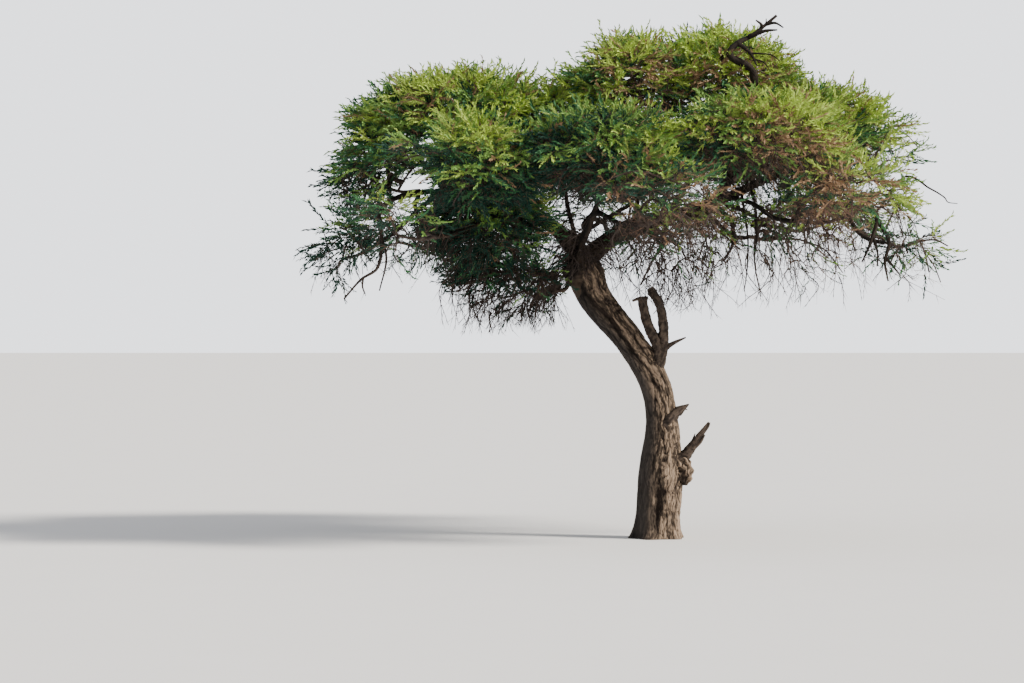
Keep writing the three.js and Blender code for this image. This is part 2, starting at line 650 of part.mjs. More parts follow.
// Puts a solid in the tree as a named mesh at its own place.
function namedMesh(name, solid, anchor, material) {
  const made = solid.getMesh();
  const corners = new Float32Array(made.numVert * 3);
  for (let i = 0; i < made.numVert; i++) {
    for (let axis = 0; axis < 3; axis++) {
      corners[3 * i + axis] = made.vertProperties[made.numProp * i + axis] - anchor.getComponent(axis);
    }
  }
  const geometry = new THREE.BufferGeometry();
  geometry.setAttribute("position", new THREE.BufferAttribute(corners, 3));
  geometry.setIndex(new THREE.BufferAttribute(new Uint32Array(made.triVerts), 1));
  geometry.computeVertexNormals();
  const mesh = new THREE.Mesh(geometry, material);
  mesh.name = name;
  mesh.position.copy(anchor);
  return mesh;
}

// The limbs in the order they grow: the trunk, the boughs with parents before children, and the dead wood.
function growLimbs() {
  const limbs = [trunkLimb()];
  CROWN.forEach((mass, index) => {
    const parent = limbs.find((limb) => limb.name === mass.from);
    limbs.push(boughLimb(mass, parent, seeded(SEEDS.boughs + index)));
  });
  return [...limbs, ...DEADWOOD.map((piece) => deadLimb(piece, limbs))];
}

const tree = new THREE.Group();
const wood = new THREE.Group();
const foliage = new THREE.Group();
tree.add(wood, foliage);

// Each limb is cut clear of those grown before it, so that it seats on its parent.
const limbs = growLimbs();
limbs.forEach((limb, index) => {
  const earlier = limbs.slice(0, index).map((other) => limbSolid(other, SEAT_GAP));
  const seated = earlier.reduce((solid, other) => solid.subtract(other), limbSolid(limb));
  const name = limb.mass ? "bough_" + limb.name : limb.name;
  const anchor = index ? limb.line[0] : new THREE.Vector3();
  wood.add(namedMesh(name, largestPiece(seated), anchor, limb.dead ? MATERIALS.deadwood : MATERIALS.bark));
});

CROWN.forEach((mass, index) => {
  const solid = growMass(mass, limbs, SEEDS.masses + index);
  foliage.add(namedMesh("mass_" + mass.name, solid, mass.middle, MATERIALS[mass.kind]));
});

export default tree;
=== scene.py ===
"""An old umbrella thorn acacia: a leaning fissured trunk, broken dead limbs, and a broad crown of leafy
shoots over hanging bare twigs. All lengths are in metres and the trunk stands on the origin."""

import functools
import math
from types import SimpleNamespace as Named

import bmesh
import bpy
import numpy as np
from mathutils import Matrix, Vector
from mathutils.kdtree import KDTree


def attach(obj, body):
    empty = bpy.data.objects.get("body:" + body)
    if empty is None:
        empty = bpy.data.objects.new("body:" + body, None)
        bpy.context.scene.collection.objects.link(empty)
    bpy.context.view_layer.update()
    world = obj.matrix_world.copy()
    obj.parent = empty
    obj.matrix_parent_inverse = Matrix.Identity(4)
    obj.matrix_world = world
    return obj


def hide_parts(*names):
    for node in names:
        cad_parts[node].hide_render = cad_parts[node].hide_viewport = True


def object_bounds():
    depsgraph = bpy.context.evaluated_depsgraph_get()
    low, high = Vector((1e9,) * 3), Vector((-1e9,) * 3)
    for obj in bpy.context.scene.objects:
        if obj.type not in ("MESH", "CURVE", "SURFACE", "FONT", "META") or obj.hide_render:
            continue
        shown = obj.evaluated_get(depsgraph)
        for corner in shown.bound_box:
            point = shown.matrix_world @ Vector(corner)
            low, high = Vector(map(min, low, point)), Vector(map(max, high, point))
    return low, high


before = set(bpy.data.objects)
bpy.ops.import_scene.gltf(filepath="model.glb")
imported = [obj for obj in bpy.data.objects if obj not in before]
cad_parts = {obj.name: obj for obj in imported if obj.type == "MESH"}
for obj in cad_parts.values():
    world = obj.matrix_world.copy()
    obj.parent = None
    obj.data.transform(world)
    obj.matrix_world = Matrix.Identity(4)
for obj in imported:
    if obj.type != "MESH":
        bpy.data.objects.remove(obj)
CAD_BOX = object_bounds()

bl_info = {
    "name": "Umbrella thorn acacia",
    "version": (1, 0, 0),
    "blender": (4, 5, 0),
    "location": "3D View > Sidebar > Acacia",
    "description": "Grows one old acacia with bark relief, dead limbs, twigs and leafy shoots",
    "category": "Object",
}

GOLDEN_ANGLE = math.pi * (3 - math.sqrt(5))
UP = np.array([0.0, 0.0, 1.0])

# The trunk's centre line and radius, as the solids have them.
TRUNK_STATIONS = [
    ((0, 0, -0.3), 0.425),
    ((0, 0, 0.35), 0.395),
    ((0.05, 0.015, 1.25), 0.42),
    ((0.08, 0.035, 2.25), 0.312),
    ((-0.085, 0.06, 3.05), 0.3),
    ((-0.56, 0.095, 3.83), 0.28),
    ((-1.18, 0.13, 4.6), 0.31),
    ((-1.43, 0.15, 5.2), 0.35),
    ((-1.54, 0.16, 5.56), 0.19),
]
TRUNK_RINGS = 21
FLARE = Named(least=0.019, most=0.165, height=0.23, roots=5, turn=2.6)
FLUTES = Named(count=4, depth=0.014, twist=0.9)
CLEFT = Named(angle=1.62, width=0.2, height=0.64, reach=0.43, depth=0.11)
FOLD = Named(angle=1.35, width=0.28, height=1.18, reach=0.19, depth=0.12)
KNOB = Named(middle=(0.48, -0.06, 1.31), size=(0.195, 0.18, 0.3))

# What only shows in the bark: the swelling where the boughs part, the rough pale top of the burl and the dark
# hollow below it, painted as shade, the thickened feet of the boughs, and the heights between which the bark
# darkens, as painted shade under the crown and partly darker bark.
FORK_SWELL = Named(middle=(-1.45, 0.15, 5.16), size=(0.4, 0.34, 0.3))
BURL = Named(middle=(0.54, -0.12, 1.42), size=(0.2, 0.2, 0.17))
PAINTED_HOLLOW_SHADE = Named(middle=(0.5, -0.2, 1.02), size=(0.05, 0.2, 0.22))
LUMPS = ((KNOB, 0.13), (FORK_SWELL, 0.06))
COLLAR = Named(swell=0.2, reach=0.45)
DARK_BARK_AND_CROWN_SHADE = Named(start=5.0, end=6.4)
# Long grooves down the bole: where each lies round it at its lower and its upper end, its heights, half width
# and depth, and how dark it is painted, as shade in the groove.
GROOVES = [
    Named(angles=(1.62, 2.02), heights=(2.75, 5.3), width=0.12, depth=0.06, dark=1.3),
    Named(angles=(1.5, 1.6), heights=(0.78, 1.42), width=0.05, depth=0.035, dark=0.9),
    Named(angles=(1.95, 1.8), heights=(1.2, 2.9), width=0.06, depth=0.022, dark=0.45),
    Named(angles=(0.95, 1.2), heights=(2.4, 4.2), width=0.06, depth=0.028, dark=0.6),
    Named(angles=(0.75, 1.0), heights=(0.9, 2.2), width=0.05, depth=0.02, dark=0.5),
]
# How finely each is made before its skin: the distance between rings, and the sides of a ring.
TRUNK_SKIN = Named(ring=0.015, sides=192, steps=240)
FOOT_SKIN = Named(ring=0.04, sides=20, taken=0.3, taper=(1.02, 0.9))
BOUGH_SKIN = Named(ring=0.05, sides=16, finer=4)
SKIN_SETTLES = 2

# The boughs, as the solids have them.
BOUGH_RADIUS = 0.05
BOUGH_STEP = 0.62
FEWEST_STEPS = 4
BOUGH_ENTRY = Named(outer=0.92, near=0.65, lower=0.35, least=0.1)
TIP_SHARE = 0.8
FORK_BLEND = 0.16
TURNING = 2
CROOK = Named(size=0.045, fewest=4, most=7, lift=0.5)
FLATNESS = 1.5
STEM_MARGIN = 0.048
TWIG_MARGIN = 0.036
LIMB_MARGIN = 0.02
DRAW_IN = Named(step=0.04, least=0.3)
NEARBY = 2
SEEDS = Named(
    boughs=100, masses=500, finer=700, shoots=83, strands=29, limb_shoots=37, spurs=61, bare=31, leafy=47,
)

# The first twigs of each kind of mass, as the solids have them.
HABITS = {
    "dome": Named(twigs=6, high=0.97, low=-0.15, ends=0.68, lift=0.05),
    "open": Named(twigs=5, high=0.95, low=-0.5, ends=0.72, lift=0.14),
    "fringe": Named(twigs=5, high=0.7, low=-0.95, ends=0.76, lift=0.1),
    "curtain": Named(twigs=5, high=0.3, low=-0.97, ends=0.78, lift=0.12),
}


def dress(crowding, gaps, leafy, reach=1.0, bare=0.4, hanging=1.0):
    return Named(crowding=crowding, gaps=gaps, leafy=leafy, reach=reach, bare=bare, hanging=hanging)


# How each kind of mass is dressed: how crowded its finer twigs are, how far the gaps between its clumps go
# in, how much of it bears leaves on its upper and on its lower side, how far its twigs reach, how much of the
# rest bears leafless shoots, and how many of its lower twigs go on as hanging ones. Some masses have their
# own way.
DRESS = {
    "dome": dress(1.5, 0.9, (1.0, 0.2), bare=0.35, hanging=0.4),
    "open": dress(0.45, 1.0, (0.85, 0.08)),
    "fringe": dress(0.5, 1.0, (0.9, 0.15)),
    "curtain": dress(0.9, 0.4, (0.2, 0.04), reach=1.02, hanging=0.8),
    "front_skirt": dress(0.85, 0.5, (0.85, 0.06), bare=0.8),
    "front_right_skirt": dress(1.0, 0.4, (0.85, 0.06), bare=0.8),
    "front_left": dress(1.5, 0.8, (1.0, 0.65), bare=0.25, hanging=0.4),
    "curtain_mid": dress(1.1, 0.4, (0.2, 0.04), reach=1.02, bare=0.5),
    "front_left_skirt": dress(0.5, 0.7, (0.9, 0.3), reach=1.05, hanging=0.8),
    "left_skirt": dress(0.9, 1.0, (0.95, 0.5), hanging=0.8),
    "right_tail": dress(1.3, 0.4, (0.5, 0.1), reach=1.05, bare=0.6),
    "low_tangle": dress(3.8, 0.7, (0.25, 0.04), reach=1.15, bare=0.8),
    "low_green": dress(3.6, 0.3, (1.0, 0.5), reach=1.35, bare=0.5, hanging=0.3),
}
STEM_SHOULDER = 0.45
STEM_TAPER = (0.95, 0.85, 0.7, 0.6)
HUB = Named(above=0.35, below=0.25)
TWIG_BEND = 0.55
TWIG_TAPER = (0.85, 0.7, 0.55)
TWIG_JITTER = Named(bearing=0.25, reach=0.08)
THINNEST_TWIG = 0.009
# The steps and sides of a stem's tube and of a first twig's.
STEM_TUBE = (12, 8)
TWIG_TUBE = (8, 6)

# Each mass of the crown: name, kind, the limb its bough leaves and how far along it, its middle, its half
# width and half depth, and how far it rises above and hangs below its middle.
CROWN = [
    ("right_shoulder", "dome", "trunk", 0.9, (3, 0.1, 7.8), (1.6, 1.9), (1.08, 0.95)),
    ("left_dome", "dome", "trunk", 0.94, (-3.85, -0.1, 8.05), (2.05, 1.85), (1.18, 0.9)),
    ("saddle", "dome", "trunk", 0.97, (-1.95, 0.25, 7.85), (1.45, 1.8), (1.13, 0.95)),
    ("front_mid", "dome", "trunk", 0.95, (-1.1, -2.85, 7.15), (1.75, 1.7), (1.15, 0.8)),
    ("back_mid", "dome", "trunk", 0.95, (-1, 3.15, 7.3), (1.85, 1.8), (1.15, 0.8)),
    ("low_tangle", "curtain", "trunk", 0.9, (-2.95, -0.35, 4.95), (1.25, 1.15), (0.55, 0.9)),
    ("peak_left", "dome", "right_shoulder", 0.3, (-0.5, -0.15, 8.65), (1.5, 1.8), (1.22, 1.15)),
    ("peak_right", "dome", "right_shoulder", 0.45, (1.3, 0.15, 8.75), (1.55, 1.8), (1.28, 1.15)),
    ("front_right", "dome", "right_shoulder", 0.5, (1.7, -2.8, 7.45), (1.75, 1.7), (1.15, 0.8)),
    ("back_right", "dome", "right_shoulder", 0.55, (1.8, 3, 7.55), (1.85, 1.7), (1.15, 0.8)),
    ("right_end", "open", "right_shoulder", 0.68, (4.25, -0.15, 7.4), (1, 1.5), (1.18, 0.9)),
    ("curtain_mid", "curtain", "right_shoulder", 0.38, (0.45, -0.5, 5.85), (1.5, 1.5), (0.85, 1.45)),
    ("curtain_right", "curtain", "right_shoulder", 0.62, (2.85, -0.35, 6.05), (1.45, 1.5), (0.85, 1.5)),
    ("front_left", "dome", "left_dome", 0.5, (-3.7, -2.6, 6.95), (1.75, 1.65), (1.15, 0.85)),
    ("back_left", "dome", "left_dome", 0.5, (-3.6, 2.75, 7.05), (1.8, 1.75), (1.15, 0.85)),
    ("left_end", "dome", "left_dome", 0.82, (-5.55, 0.05, 7.15), (1.23, 1.85), (1.25, 0.9)),
    ("low_green", "dome", "left_dome", 0.4, (-3.35, -0.85, 6), (1.25, 1.45), (0.8, 0.95)),
    ("front_skirt", "open", "front_mid", 0.72, (-0.2, -4.45, 6.25), (1.65, 1), (0.95, 1.05)),
    ("back_skirt", "open", "back_mid", 0.72, (-0.3, 4.75, 6.35), (1.8, 0.95), (0.95, 1.05)),
    ("front_right_skirt", "open", "front_right", 0.7, (3.35, -3.3, 6.35), (1.35, 1.35), (1, 1.05)),
    ("back_right_skirt", "open", "back_right", 0.7, (3.55, 3.25, 6.45), (1.35, 1.4), (1, 1.05)),
    ("front_left_skirt", "fringe", "front_left", 0.65, (-4.9, -3.1, 5.95), (1.05, 1.15), (0.85, 0.9)),
    ("back_left_skirt", "fringe", "back_left", 0.65, (-5.1, 2.9, 6.05), (1.15, 1.3), (0.9, 0.95)),
    ("left_skirt", "fringe", "left_end", 0.7, (-6.08, -0.35, 5.6), (0.8, 1.25), (0.9, 0.9)),
    ("right_skirt", "fringe", "right_end", 0.55, (4.5, 1.35, 6.1), (0.85, 1.2), (0.95, 1.05)),
    ("right_tail", "curtain", "right_end", 0.6, (5, -0.45, 5.5), (0.74, 0.85), (0.65, 0.85)),
]
MASSES = [
    Named(
        name=name, kind=kind, habit=HABITS[kind], dress=DRESS.get(name, DRESS[kind]), source=source, at=at,
        middle=np.array(middle, float), half=half, rise=rise, drop=drop,
    )
    for name, kind, source, at, middle, half, (rise, drop) in CROWN
]

# Dead wood, as the solids have it: a line of points with a radius at each end, and prongs made the same way.
DEADWOOD = [
    Named(
        name="twin_stub", source="trunk", at=None, radius=(0.115, 0.092), stouter=1,
        line=[(-0.02, -0.075, 3.4), (0.005, -0.095, 3.68), (-0.19, -0.11, 4.1), (-0.26, -0.115, 4.35),
                 (-0.31, -0.12, 4.63)],
        prongs=[
            ([(0.04, -0.07, 3.42), (0.097, -0.08, 3.75), (0.097, -0.075, 4.17), (0.019, -0.065, 4.54),
              (-0.135, -0.06, 4.782)], (0.115, 0.08)),
            ([(0.05, -0.08, 3.6), (0.26, -0.1, 3.75), (0.535, -0.12, 3.88)], (0.074, 0.014)),
        ],
    ),
    Named(
        name="fin_stub", source="trunk", at=None, radius=(0.205, 0.012), stouter=1,
        line=[(0.19, -0.04, 2.33), (0.38, -0.065, 2.45), (0.595, -0.085, 2.59)],
        prongs=[],
    ),
    Named(
        name="broken_limb", source="trunk", at=None, radius=(0.15, 0.024), stouter=1,
        line=[(0.33, -0.04, 1.39), (0.57, -0.06, 1.66), (0.79, -0.07, 1.96), (0.985, -0.08, 2.24)],
        prongs=[([(0.64, -0.06, 1.73), (0.8, -0.1, 1.85), (0.9, -0.12, 2.0)], (0.062, 0.014))],
    ),
    Named(
        name="crown_snag", source="right_shoulder", at=0.72, radius=(0.088, 0.022), stouter=1.2,
        line=[(1.65, -0.7, 7.8), (1.74, -1.33, 8.82), (1.29, -1.48, 9.17), (1.42, -1.46, 9.41),
                 (1.72, -1.36, 9.58), (2.18, -1.23, 9.96)],
        prongs=[
            ([(1.9, -1.31, 9.73), (1.87, -1.37, 9.79), (1.775, -1.43, 9.85)], (0.034, 0.012)),
            ([(1.98, -1.29, 9.79), (2.15, -1.33, 9.81), (2.3, -1.35, 9.72)], (0.03, 0.011)),
            ([(1.64, -1.4, 9.54), (1.93, -1.49, 9.64), (2.17, -1.52, 9.66)], (0.044, 0.012)),
            ([(1.43, -1.47, 9.42), (1.66, -1.58, 9.21), (1.77, -1.62, 8.98)], (0.038, 0.012)),
        ],
    ),
    Named(
        name="dead_drop_left", source="left_end", at=0.85, radius=(0.048, 0.014), stouter=1.2,
        line=[(-5, -0.56, 6.56), (-5.33, -1.02, 6.26), (-5.29, -1.08, 5.68), (-5.37, -1.1, 5.2),
                 (-5.69, -1.06, 4.97), (-6.01, -1, 4.61)],
        prongs=[
            ([(-5.3, -1.06, 5.8), (-5.2, -1.13, 5.35), (-5.33, -1.14, 4.76)], (0.026, 0.011)),
            ([(-5.64, -1.06, 5.01), (-5.66, -0.99, 4.85), (-5.61, -0.96, 4.7)], (0.019, 0.01)),
        ],
    ),
    Named(
        name="dead_drop_right", source="right_tail", at=0.5, radius=(0.052, 0.014), stouter=1.2,
        line=[(4.13, -0.62, 6.25), (4.05, -0.7, 5.76), (3.86, -0.74, 5.32)],
        prongs=[
            ([(4.12, -0.64, 6.2), (4.37, -0.73, 5.72), (4.29, -0.76, 5.33), (4.35, -0.78, 4.95)],
             (0.042, 0.013)),
            ([(4.31, -0.745, 5.4), (4.48, -0.72, 5.2), (4.6, -0.7, 5.05)], (0.026, 0.011)),
            ([(4.07, -0.69, 5.82), (4.15, -0.76, 5.5), (4.14, -0.8, 5.23)], (0.026, 0.011)),
        ],
    ),
]

# Ends of the dead wood that only show close by: the twin stub's slab and knob, splinters, and broken tips.
DEAD_ENDS = [
    ([(-0.5, -0.12, 4.58), (-0.4, -0.12, 4.62), (-0.3, -0.12, 4.63), (-0.2, -0.12, 4.615)], (0.022, 0.058)),
    ([(-0.3, -0.12, 4.56), (-0.31, -0.12, 4.67)], (0.088, 0.07)),
    ([(-0.1, -0.06, 4.74), (-0.15, -0.06, 4.84)], (0.1, 0.06)),
    ([(0.86, -0.07, 2.02), (0.97, -0.1, 2.16), (1.0, -0.12, 2.24)], (0.034, 0.006)),
    ([(0.6, -0.06, 1.7), (0.66, -0.03, 1.86), (0.72, 0.0, 2.02)], (0.045, 0.008)),
    ([(0.42, -0.06, 2.5), (0.5, -0.05, 2.5), (0.57, -0.05, 2.48)], (0.03, 0.006)),
    ([(0.12, -0.2, 2.2), (0.24, -0.24, 2.35), (0.42, -0.18, 2.48), (0.56, -0.1, 2.56)], (0.11, 0.02)),
]
DEAD_FOOT = 0.3
DEAD_STEPS = Named(end=8, strand=24, finer=6)
DEAD_SIDES = Named(thick=16, thin=9, from_radius=0.06)
DEAD_STRETCH = 9.0
# Dead twigs in the crown: their points, and a radius at both ends. Each starts on the nearest limb.
DEAD_STRANDS = [
    ([(-4.62, -0.85, 6.6), (-4.66, -0.95, 6.4), (-4.62, -1.0, 6.15)], (0.055, 0.035)),
    ([(1.35, -0.8, 6.1), (1.38, -0.9, 5.68), (1.22, -0.95, 5.35)], (0.05, 0.022)),
    ([(1.76, -0.6, 6.7), (1.84, -0.8, 5.9), (1.8, -0.85, 5.3), (1.92, -0.85, 4.65)], (0.036, 0.01)),
    ([(1.6, -0.5, 6.5), (1.68, -0.7, 5.8), (1.66, -0.8, 5.2), (1.6, -0.85, 4.75)], (0.03, 0.009)),
    ([(1.66, -1.58, 9.21), (1.86, -1.64, 9.2), (2.06, -1.66, 9.17), (2.2, -1.66, 9.06)], (0.024, 0.009)),
    ([(1.72, -1.6, 9.1), (1.9, -1.64, 9.04), (2.02, -1.66, 8.88)], (0.022, 0.008)),
    ([(1.45, -1.47, 9.36), (1.62, -1.5, 9.34), (1.76, -1.52, 9.3)], (0.02, 0.008)),
    ([(1.95, -1.27, 9.77), (1.98, -1.27, 9.84), (1.98, -1.27, 9.9)], (0.018, 0.009)),
    ([(4.7, -0.5, 6.95), (5.16, -0.7, 6.72), (5.42, -0.72, 6.56), (5.5, -0.72, 6.46), (5.68, -0.74, 6.43)],
     (0.024, 0.007)),
    ([(-1.6, -0.3, 5.78), (-1.35, -0.35, 5.95), (-0.95, -0.4, 6.2), (-0.5, -0.4, 6.45)], (0.05, 0.035)),
]

# Places in the crown, each X, Y, Z and a radius: shoots that have dropped their leaves, shoots painted as in
# sunlight, shoots painted dark as in shade, and places kept clear. Then openings to the sky from the front:
# X, Z, a radius.
DRY_PATCHES = [
    (0.0, -1.8, 9.0, 1.1), (1.4, -4.3, 6.5, 1.2), (3.2, -4.3, 6.1, 1.2), (-0.3, -5.2, 5.8, 1.0),
    (-4.6, -1.6, 8.6, 0.6), (2.6, -4.2, 5.9, 1.1), (4.4, -1.4, 6.6, 0.8), (1.9, -1.5, 8.9, 0.9),
    (2.6, -3.6, 7.2, 0.6), (-2.2, -4.0, 6.4, 0.8), (1.9, -4.3, 6.8, 1.4), (3.0, -4.5, 6.5, 1.2),
    (0.6, -1.4, 9.2, 0.8), (0.7, -4.9, 6.1, 1.0), (1.8, -2.6, 6.3, 1.2), (2.7, -3.4, 5.8, 1.0),
    (-2.3, -2.6, 6.0, 1.1), (-0.8, -4.8, 6.55, 0.8), (0.2, -4.9, 6.5, 0.7),
]
SUNNY_PATCHES = [
    (-0.9, -4.6, 7.5, 0.7), (2.3, -3.7, 7.8, 1.3), (4.0, -2.2, 7.4, 1.0), (-3.2, -3.4, 7.9, 1.1),
    (-4.6, -1.4, 8.6, 0.9), (0.6, -0.6, 9.7, 1.0), (-5.6, -1.5, 8.0, 1.0), (-1.9, -1.2, 8.8, 1.1),
    (0.2, -1.9, 8.4, 0.9), (-0.6, -1.6, 9.2, 1.0), (0.8, -1.6, 9.1, 0.9), (1.9, -1.6, 8.8, 0.9),
    (-5.0, -3.4, 6.6, 0.8), (-4.3, -3.3, 5.7, 0.9),
]
SHADE_PATCHES = [
    (-3.2, -2.4, 5.9, 1.7), (-6.4, -0.8, 5.8, 1.3), (-5.4, -3.4, 5.7, 0.7), (-2.0, -3.3, 6.4, 1.2),
    (-3.0, -1.0, 5.0, 1.5), (-1.8, -3.6, 7.5, 0.8), (-0.7, -3.7, 7.7, 1.0), (5.2, -0.9, 7.2, 0.9),
    (-0.6, -4.9, 6.6, 0.8), (0.3, -4.9, 6.75, 0.8), (1.1, -4.1, 6.75, 0.8), (-2.1, -1.2, 6.4, 1.6),
    (-2.1, 1.2, 6.4, 1.6), (-2.6, -3.2, 7.0, 0.8),
]
CLEARED = [
    (1.6, -1.75, 9.3, 0.5), (1.95, -1.9, 9.25, 0.42),
]
SKY_GAPS = [
    (-1.25, 6.02, 0.38), (-4.35, 7.62, 0.3), (-4.6, 6.75, 0.58), (4.5, 6.95, 0.35), (4.75, 6.35, 0.3),
    (-7.3, 8.1, 1.58), (-7.0, 6.4, 0.9), (-6.3, 6.45, 0.3), (-6.4, 8.95, 1.1), (-5.9, 9.45, 1.15),
    (-1.8, 9.75, 0.85), (3.15, 9.75, 0.6), (-5.55, 5.0, 0.5), (3.72, 5.85, 0.4), (6.0, 6.3, 0.75),
    (5.6, 7.75, 0.65), (-4.3, 4.2, 0.8), (-1.6, 4.2, 0.6),
]

# The crown's surface is parted into clumps by waves across it. Each is how fast it turns along X, Y and Z,
# and a start. Twigs' ends stay this deep in the crown in a clump and in a gap between clumps.
CLUMP_WAVES = [
    ((2.9, 2.1, 7.6), 0.4), ((-2.1, 3.2, 9.0), 1.9), ((4.1, -2.9, 5.4), 3.3), ((1.7, 2.3, -10.3), 5.1),
]
CLUMP_DEPTH = 1.2
GAP_DEPTH = 2.4

# Finer twigs: the height of their first end in a mass, how far out their innermost ends lie, how clear of a
# neighbour's space they stay, how they wander, and how wood thickens with the number of ends that it bears.
# In a curtain they crowd low and come from above: going sideways costs more, and going up costs much more.
FINER = Named(
    top=1, curtain_top=0.85, curtain_crowd=1.35, inmost=0.3, margin=0.015, wander=0.07, thickening=0.42,
    taper=(1.0, 0.85, 0.6), sideways=1.5, upward=4, turning_back=9,
)

# Shoots along a finer twig: their places, how far up a twig's own rise carries them, how far they turn from
# it, how far leafy ones arch outwards and up, and how bare ones droop. Deep in the crown fewer bear leaves.
SHOOT = Named(
    places=(0.35, 0.6, 0.8, 1.0), level=(1.0, 1.0, 0.3), turn=(0.35, 0.95), end_turn=0.4, jitter=0.25,
    out=(0.5, 0.5, 0.24), up=(-0.2, 0.2), bare_out=0.1, bare_down=0.55, room=0.27,
)
LEAVING = Named(under=-0.5, over=0.05, dry=0.95, deep=0.65, depths=(2.8, 4.8))
BARE_IN_DRY = 0.5
CLEARED_SHARE = 0.3

# How far twigs may pass the solids' own box, and the box with that room round it.
BOX_ROOM = 0.16
ROOM = (np.array(CAD_BOX[0]) - BOX_ROOM, np.array(CAD_BOX[1]) + BOX_ROOM)

# Hanging twigs, which go out a little and then down, and the bare ones that sprout from the limbs.
STRAND = Named(
    share=0.85, steps=6, length=(0.5, 1.9), least=0.2, below=1.04, level=(0.3, -0.35), depths=(4.6, 2.6),
    out=0.4, down=0.85, sway=0.13, curl=0.24, taper=(1.0, 0.35),
)
SPROUT = Named(
    lowest=5.1, on_trunk=230, on_bough=14, at_foot=34, foot_share=0.35, length=(0.3, 1.15), steps=3,
    samples=80, rooted=0.8, ahead=0.5, jitter=0.3, bend=0.12, droop=0.65, slimmer=0.8,
)
SPUR = Named(on_strand=7, on_limb_shoot=5, droop=0.35, sideways=0.9, length=(0.4, 1.4), radius=0.45)

# Bare shoots: how long and how thick each is, and where its two spurs leave it.
BARE = Named(
    length=(0.55, 1.4), radius=0.8, spurs=(0.35, 0.65), spur_length=(0.25, 0.5), spur_radius=0.55,
    sideways=1.1, pale=(0.15, 0.75), pale_from=(0.5, 2.5),
)

# Leafy shoots: their sizes, the few that lead out of the crown, and how deep in the crown they grow larger.
LEAFY = Named(
    size=(0.65, 1.35), leading=0.05, leading_up=0.6, leading_size=1.2, deep_size=1.3, depths=(2, 4),
    stem=0.97, stem_radius=0.8, patterns=4, bare_foot=0.14, fold=0.3, sag=0.055,
)

# How much light a shoot gets, to be painted into its leaves' colour: from the side that it faces, from its
# place and height, from the patches that it is in, from its clump and how the clump slopes, and less deep in
# the crown.
# Then the light at which each tint gives way to the next, from painted shade to painted sunlight.
LIGHT = Named(
    sun=(0.55, -0.3, 0.75), usual=0.5, facing=0.4, rightward=0.02, upward=0.09, middle_height=7, sunny=0.28,
    dark=0.5, clump=0.17, slope=0.16, slope_step=0.18, jitter=0.1, deep=0.25, depths=(1.8, 4),
)
TINT_STEPS = (0.14, 0.4, 0.72, 0.98)
DRYING = Named(anywhere=0.05, in_patch=0.9)
# Tints in order of painted light, from painted shade to painted sunlight, and last the drying olive.
TINTS = [
    ("shade", "dense_foliage"), ("deep", "dense_foliage"), ("green", "dense_foliage"),
    ("yellow", "open_foliage"), ("lime", "open_foliage"), ("dry", "open_foliage"),
]
DRY_TINT = 5

# The studio.
FLOOR = Named(edge=900.0, level=-0.002)
KEY_LIGHT = Named(direction=(-0.74, 0.27, -0.62), width=math.radians(12), colour=(1.0, 0.94, 0.84))
FARTHEST_SEEN = 2000

# Twigs, shoots and leaves are shared out into pieces of no more triangles than this.
PIECE_LIMIT = 190000


# Numbers and lines

def seeded(seed):
    """The solids' own stream of numbers from 0 to 1."""
    mask = 0xFFFFFFFF
    state = seed & mask

    def draw():
        nonlocal state
        state = (state + 0x6D2B79F5) & mask
        mixed = state
        mixed = ((mixed ^ (mixed >> 15)) * (mixed | 1)) & mask
        mixed ^= (mixed + (((mixed ^ (mixed >> 7)) * (mixed | 61)) & mask)) & mask
        return ((mixed ^ (mixed >> 14)) & mask) / 4294967296

    return draw


def mix(start, end, share):
    return start + (end - start) * share


def unit(vectors):
    vectors = np.asarray(vectors, float)
    return vectors / np.maximum(np.linalg.norm(vectors, axis=-1, keepdims=True), 1e-12)


def sizes_of(vectors):
    return np.linalg.norm(vectors, axis=-1)


def smoothstep(low, high, value):
    share = np.clip((value - low) / (high - low), 0, 1)
    return share * share * (3 - 2 * share)


def smooth_line(points, steps):
    """A smooth line through a few points, at evenly numbered steps."""
    points = np.asarray(points, float)
    longer = np.vstack([2 * points[0] - points[1], points, 2 * points[-1] - points[-2]])
    place = np.linspace(0, len(points) - 1, steps + 1)
    first = np.minimum(place.astype(int), len(points) - 2)
    share = (place - first)[:, None]
    before, start, end, after = (longer[first + offset] for offset in range(4))
    leave = 0.5 * (end - before)
    arrive = 0.5 * (after - start)
    curve = (2 * start - 2 * end + leave + arrive) * share**3
    return curve + (3 * end - 3 * start - 2 * leave - arrive) * share**2 + leave * share + start


def spread(values, count):
    """Values given at even steps, as more values at even steps between them."""
    return np.interp(np.linspace(0, 1, count), np.linspace(0, 1, len(values)), values)


def smooth_radii(radii, steps):
    return smooth_line(np.stack([radii] * 3, -1), steps)[:, 0]


def tapered(line, radius, steps):
    return Named(line=smooth_line(line, steps), radii=np.linspace(*radius, steps + 1))


def step_lengths(line):
    return sizes_of(np.diff(line, axis=0))


def along_line(line, share):
    step = min(int(share * (len(line) - 1)), len(line) - 2)
    return mix(line[step], line[step + 1], share * (len(line) - 1) - step)


def direction_along(line, share):
    step = min(int(share * (len(line) - 1)), len(line) - 2)
    return unit(line[step + 1] - line[step])


